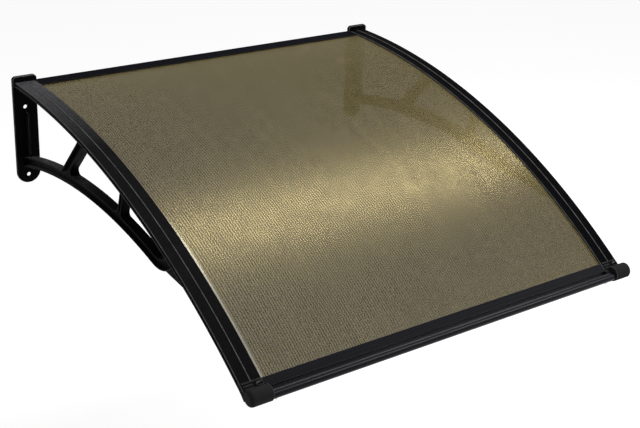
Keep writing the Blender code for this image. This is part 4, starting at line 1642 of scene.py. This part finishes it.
    def build(self, material: bpy.types.Material) -> None:
        """Build the bracket and put it in its place.

        Args:
            material: The bracket's finish.
        """
        item = self.lattice.body()
        item.name = f"side_bracket_{self.side.word}"
        joined = [self.arm(), *self.wall_plate(), self.lattice.crest(), self.lattice.fin()]
        joined += [*self.boss(), self.ridge(), *self.ribs()]
        combine(item, joined, Operation.JOIN)
        combine(item, self.cutters(), Operation.CUT)
        middle = -self.side.value * self.fit.bracket_spacing / 2
        item.data.transform(Matrix.Translation((middle, 0, 0)))
        publish(item, f"bracket_{self.side.word}", material, Slot.PLASTIC, self.raised)


@dataclass(frozen=True)
class Screw:
    """Self-tapping pan head screw with a rolled thread and a cross recess.

    A ring of the pan has the first of pan_heights plus the second times the sine of its
    turn as its share of the head's height, and pan_radii with the cosine for its radius.
    """

    name: str
    node: str
    radius: float
    length: float
    head_radius: float
    head_height: float
    place: Matrix
    pitch: float = 0.0012
    thread: float = 0.00018
    thread_from: float = 0.3
    tip: float = 0.0025
    point_radius: float = 0.00012
    point_rise: float = 0.00005
    shank: float = 0.0002
    around: int = 24
    rings_per_turn: int = 4
    pan_steps: int = 6
    pan_heights: Range = (0.35, 0.65)
    pan_radii: Range = (0.45, 0.55)
    slit_half: float = 0.00035
    slit_depth: float = 0.0010
    slit_reach: float = 0.62
    slit_shorter: float = 0.02
    slit_shallower: float = 0.0001
    slit_clear: float = 0.001

    def rings(self) -> list[tuple[float, float, bool]]:
        """List the rings of the screw, from its tip to its head.

        Returns:
            For each ring its height, its radius and whether it is threaded.
        """
        rings = [(-self.length + self.point_rise, self.point_radius, False)]
        count = int((self.length - self.shank) / (self.pitch / self.rings_per_turn))
        for step in range(1, count):
            height = -self.length + step * self.pitch / self.rings_per_turn
            reach = min(1.0, (height + self.length) / self.tip)
            rings.append((height, self.radius * reach, reach > self.thread_from))
        rings += [(0.0, self.radius, False), (0.0, self.head_radius, False)]
        (low, rise), (flat, curve) = self.pan_heights, self.pan_radii
        for turn in evenly(0.0, math.pi / 2, self.pan_steps)[1:]:
            rings.append((self.head_height * (low + rise * math.sin(turn)),
                          self.head_radius * (flat + curve * math.cos(turn)), False))
        return rings

    def ring(self, height: float, radius: float, threaded: bool) -> Outline:
        """Draw one ring of the screw.

        Args:
            height: Height of the ring.
            radius: Radius of its core.
            threaded: Whether the thread runs over it.

        Returns:
            The places of the ring.
        """
        ring = []
        for step in range(self.around):
            phase = (height / self.pitch - step / self.around) % 1.0
            crest = self.thread * (1 - abs(2 * phase - 1)) if threaded else 0.0
            angle, reach = 2 * math.pi * step / self.around, radius + crest
            ring.append(Vector((reach * math.cos(angle), reach * math.sin(angle), height)))
        return ring

    def build(self, material: bpy.types.Material) -> None:
        """Build the screw with its recess and put it in its place.

        Args:
            material: The screw's finish.
        """
        item = sweep(self.name, [[self.ring(*ring)] for ring in self.rings()])
        bars = []
        for number in range(2):
            half = self.head_radius * (self.slit_reach - self.slit_shorter * number)
            turn = Matrix.Rotation(number * math.pi / 2, 2)
            loop = [turn @ corner for corner in
                    rectangle(-half, half, -self.slit_half, self.slit_half)]
            floor = self.head_height - self.slit_depth + self.slit_shallower * number
            bars.append(slab(f"recess_{number}", [loop], floor,
                             self.head_height + self.slit_clear, level_place))
        combine(item, bars, Operation.CUT)
        item.data.transform(self.place)
        publish(item, self.node, material, Slot.STEEL)


@dataclass(frozen=True)
class Fixings:
    """The two screws of each bracket, one into each bar.

    The sizes are a screw's length and its head's radius and height.
    """

    fit: Fit = Fit()
    wall_bar: WallBar = WallBar()
    front_bar: FrontBar = FrontBar()
    side_sizes: Triple = (0.042, 0.0025, 0.0018)
    tube_sizes: Triple = (0.012, 0.0034, 0.0022)

    def side_screw(self, side: Side) -> Screw:
        """Place the screw that holds an end of the wall bar.

        Args:
            side: The side of the canopy.

        Returns:
            The screw, seated on the bracket's web.
        """
        outward, centre = -side.value, self.wall_bar.screw_centre()
        across = outward * (self.fit.bracket_spacing / 2 + self.fit.arm_web / 2 + self.fit.gap)
        place = Matrix.Translation((across, -centre.x, centre.y))
        place = place @ Matrix.Rotation(outward * math.pi / 2, 4, "Y")
        return Screw(f"side_screw_{side.word}", f"wall_bar_screw_{side.word}",
                     self.wall_bar.screw_radius, *self.side_sizes, place)

    def tube_screw(self, side: Side) -> Screw:
        """Place the screw that holds an end of the front bar.

        Args:
            side: The side of the canopy.

        Returns:
            The screw, seated below the tube.
        """
        bar, centre = self.front_bar, self.front_bar.tube_centre()
        across = -side.value * (self.fit.bracket_spacing / 2 - self.fit.tube_screw_across)
        seat = centre.y - bar.tube_radius - self.fit.gap
        place = Matrix.Translation((across, -centre.x, seat)) @ Matrix.Rotation(math.pi, 4, "X")
        return Screw(f"tube_screw_{side.word}", f"front_bar_screw_{side.word}",
                     bar.screw_radius, *self.tube_sizes, place)

    def build(self, material: bpy.types.Material) -> None:
        """Build the four screws.

        Args:
            material: The screws' finish.
        """
        for side in Side:
            self.side_screw(side).build(material)
            self.tube_screw(side).build(material)


@dataclass(frozen=True)
class Lamp:
    """A rectangular soft light, by its length along length_way and its width."""

    name: str
    place: Triple
    target: Triple
    size: Range
    power: float
    length_way: Triple = (1.0, 0.0, 0.0)

    def build(self) -> None:
        """Hang the lamp and turn it to its target."""
        light = bpy.data.lights.new(self.name, "AREA")
        light.shape = "RECTANGLE"
        light.size, light.size_y = self.size
        light.energy = self.power
        item = bpy.data.objects.new(self.name, light)
        back = (Vector(self.place) - Vector(self.target)).normalized()
        width_way = back.cross(Vector(self.length_way)).normalized()
        turn = Matrix((width_way.cross(back), width_way, back)).transposed().to_4x4()
        item.matrix_world = Matrix.Translation(self.place) @ turn
        bpy.context.scene.collection.objects.link(item)
        LOG.info("lamp %s", self.name)


@dataclass(frozen=True)
class Studio:
    """Pale floor, soft light and the camera. The camera's angles are in degrees."""

    floor_up: float = -0.95
    floor_half: float = 12.0
    floor_thickness: float = 0.02
    floor_grey: float = 0.8
    floor_shade: float = 0.35
    floor_glow: float = 0.85
    world_levels: Range = (0.25, 1.0)
    lamps: tuple[Lamp, ...] = (
        Lamp("strip", (1.22, -0.24, 1.5), (1.22, -0.65, -0.1), (1.94, 0.42), 29.0),
        Lamp("left_window", (-2.6, 0.6, 1.3), (0.0, -0.3, -0.1), (1.6, 1.6), 10.0,
             (0.0, 1.0, 0.0)),
        Lamp("front_right", (1.82, -2.72, 1.50), (0.0, -0.96, -0.31), (1.7, 0.90), 53.0),
    )
    camera_place: Triple = (-1.5207, -2.4917, 0.8516)
    azimuth: float = -37.329
    elevation: float = 23.485
    roll: float = 2.627
    focal_px: float = 1226.7
    picture_width_px: float = 640
    sensor_width_mm: float = 36.0
    nearest: float = 0.05

    def floor(self) -> None:
        """Lay the pale floor, which shows white where it is seen and keeps the shadow."""
        half = self.floor_half
        item = slab("floor", [rectangle(-half, half, -half, half)],
                    self.floor_up - self.floor_thickness, self.floor_up, level_place)
        graph = Graph(bpy.data.materials.new("pale_floor"))
        graph.tree.nodes.remove(graph.shader)
        plain = graph.add("ShaderNodeBsdfDiffuse", Color=(*[self.floor_grey] * 3, 1))
        shade = graph.add("ShaderNodeBsdfDiffuse", Color=(*[self.floor_shade] * 3, 1))
        glow = graph.add("ShaderNodeEmission", Strength=self.floor_glow)
        both, pick = graph.add("ShaderNodeAddShader"), graph.add("ShaderNodeMixShader")
        for output, target in (
            (shade.outputs[0], both.inputs[0]),
            (glow.outputs[0], both.inputs[1]),
            (graph.seen(), pick.inputs[0]),
            (plain.outputs[0], pick.inputs[1]),
            (both.outputs[0], pick.inputs[2]),
            (pick.outputs[0], graph.tree.nodes["Material Output"].inputs[0]),
        ):
            graph.link(output, target)
        item.data.materials.append(graph.owner)

    def world(self) -> None:
        """Give the world a plain level, and white where it is seen."""
        graph = Graph(bpy.data.worlds.new("studio"))
        bpy.context.scene.world = graph.owner
        back = graph.tree.nodes["Background"].inputs
        back["Color"].default_value = (1, 1, 1, 1)
        graph.link(graph.span(graph.seen(), *self.world_levels, 0.0, 1.0), back["Strength"])

    def camera(self) -> None:
        """Set the camera to the photograph's view."""
        azimuth, elevation, roll = map(math.radians, (self.azimuth, self.elevation, self.roll))
        ahead = Vector((-math.sin(azimuth) * math.cos(elevation),
                        math.cos(azimuth) * math.cos(elevation), -math.sin(elevation)))
        level = ahead.cross(Vector((0, 0, 1))).normalized()
        above = level.cross(ahead)
        right = level * math.cos(roll) + above * math.sin(roll)
        up = above * math.cos(roll) - level * math.sin(roll)
        data = bpy.data.cameras.new("camera")
        data.sensor_width = self.sensor_width_mm
        data.lens = self.focal_px * self.sensor_width_mm / self.picture_width_px
        data.clip_start = self.nearest
        item = bpy.data.objects.new("camera", data)
        turn = Matrix((right, up, -ahead)).transposed().to_4x4()
        item.matrix_world = Matrix.Translation(self.camera_place) @ turn
        bpy.context.scene.collection.objects.link(item)
        bpy.context.scene.camera = item

    def build(self) -> None:
        """Set up the floor, the world, the lamps and the camera."""
        self.floor()
        self.world()
        for lamp in self.lamps:
            lamp.build()
        self.camera()
        bpy.context.scene.view_settings.view_transform = "Standard"


def main() -> None:
    """Build the canopy and the studio, in order."""
    logging.basicConfig(level=logging.INFO, format="%(message)s")
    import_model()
    # Lit and shaded copies of one plastic: the left one carries the painted sheen near the wall
    # and reflects more, the right one reflects less and stays darker
    plastics = {
        Side.LEFT: BlackPlastic("moulded_black_plastic_left", painted_sheen=1.0, shine=0.022),
        Side.RIGHT: BlackPlastic("moulded_black_plastic_right", painted_sheen=0.0, shine=0.002),
    }
    # One coat on both bars: the wall bar's copy is rougher and reflects less, a shaded copy that
    # stays as dark as its shade
    dull = BlackAluminium("coated_black_aluminium_dull", roughness=(0.47, 0.54), shine=0.002)
    satin = BlackAluminium("coated_black_aluminium_satin", roughness=(0.24, 0.31), shine=0.09)
    front_bar = FrontBar()
    for side, plastic in plastics.items():
        Bracket(side).build(plastic.material())
    WallBar().build(dull.material())
    front_bar.build(satin.material())
    RoofSheet().build(front_bar.sheet_front_out(), BronzePolycarbonate().material())
    Fixings().build(ZincSteel().material())
    Studio().build()
    bpy.context.view_layer.update()


if __name__ == "__main__":
    main()
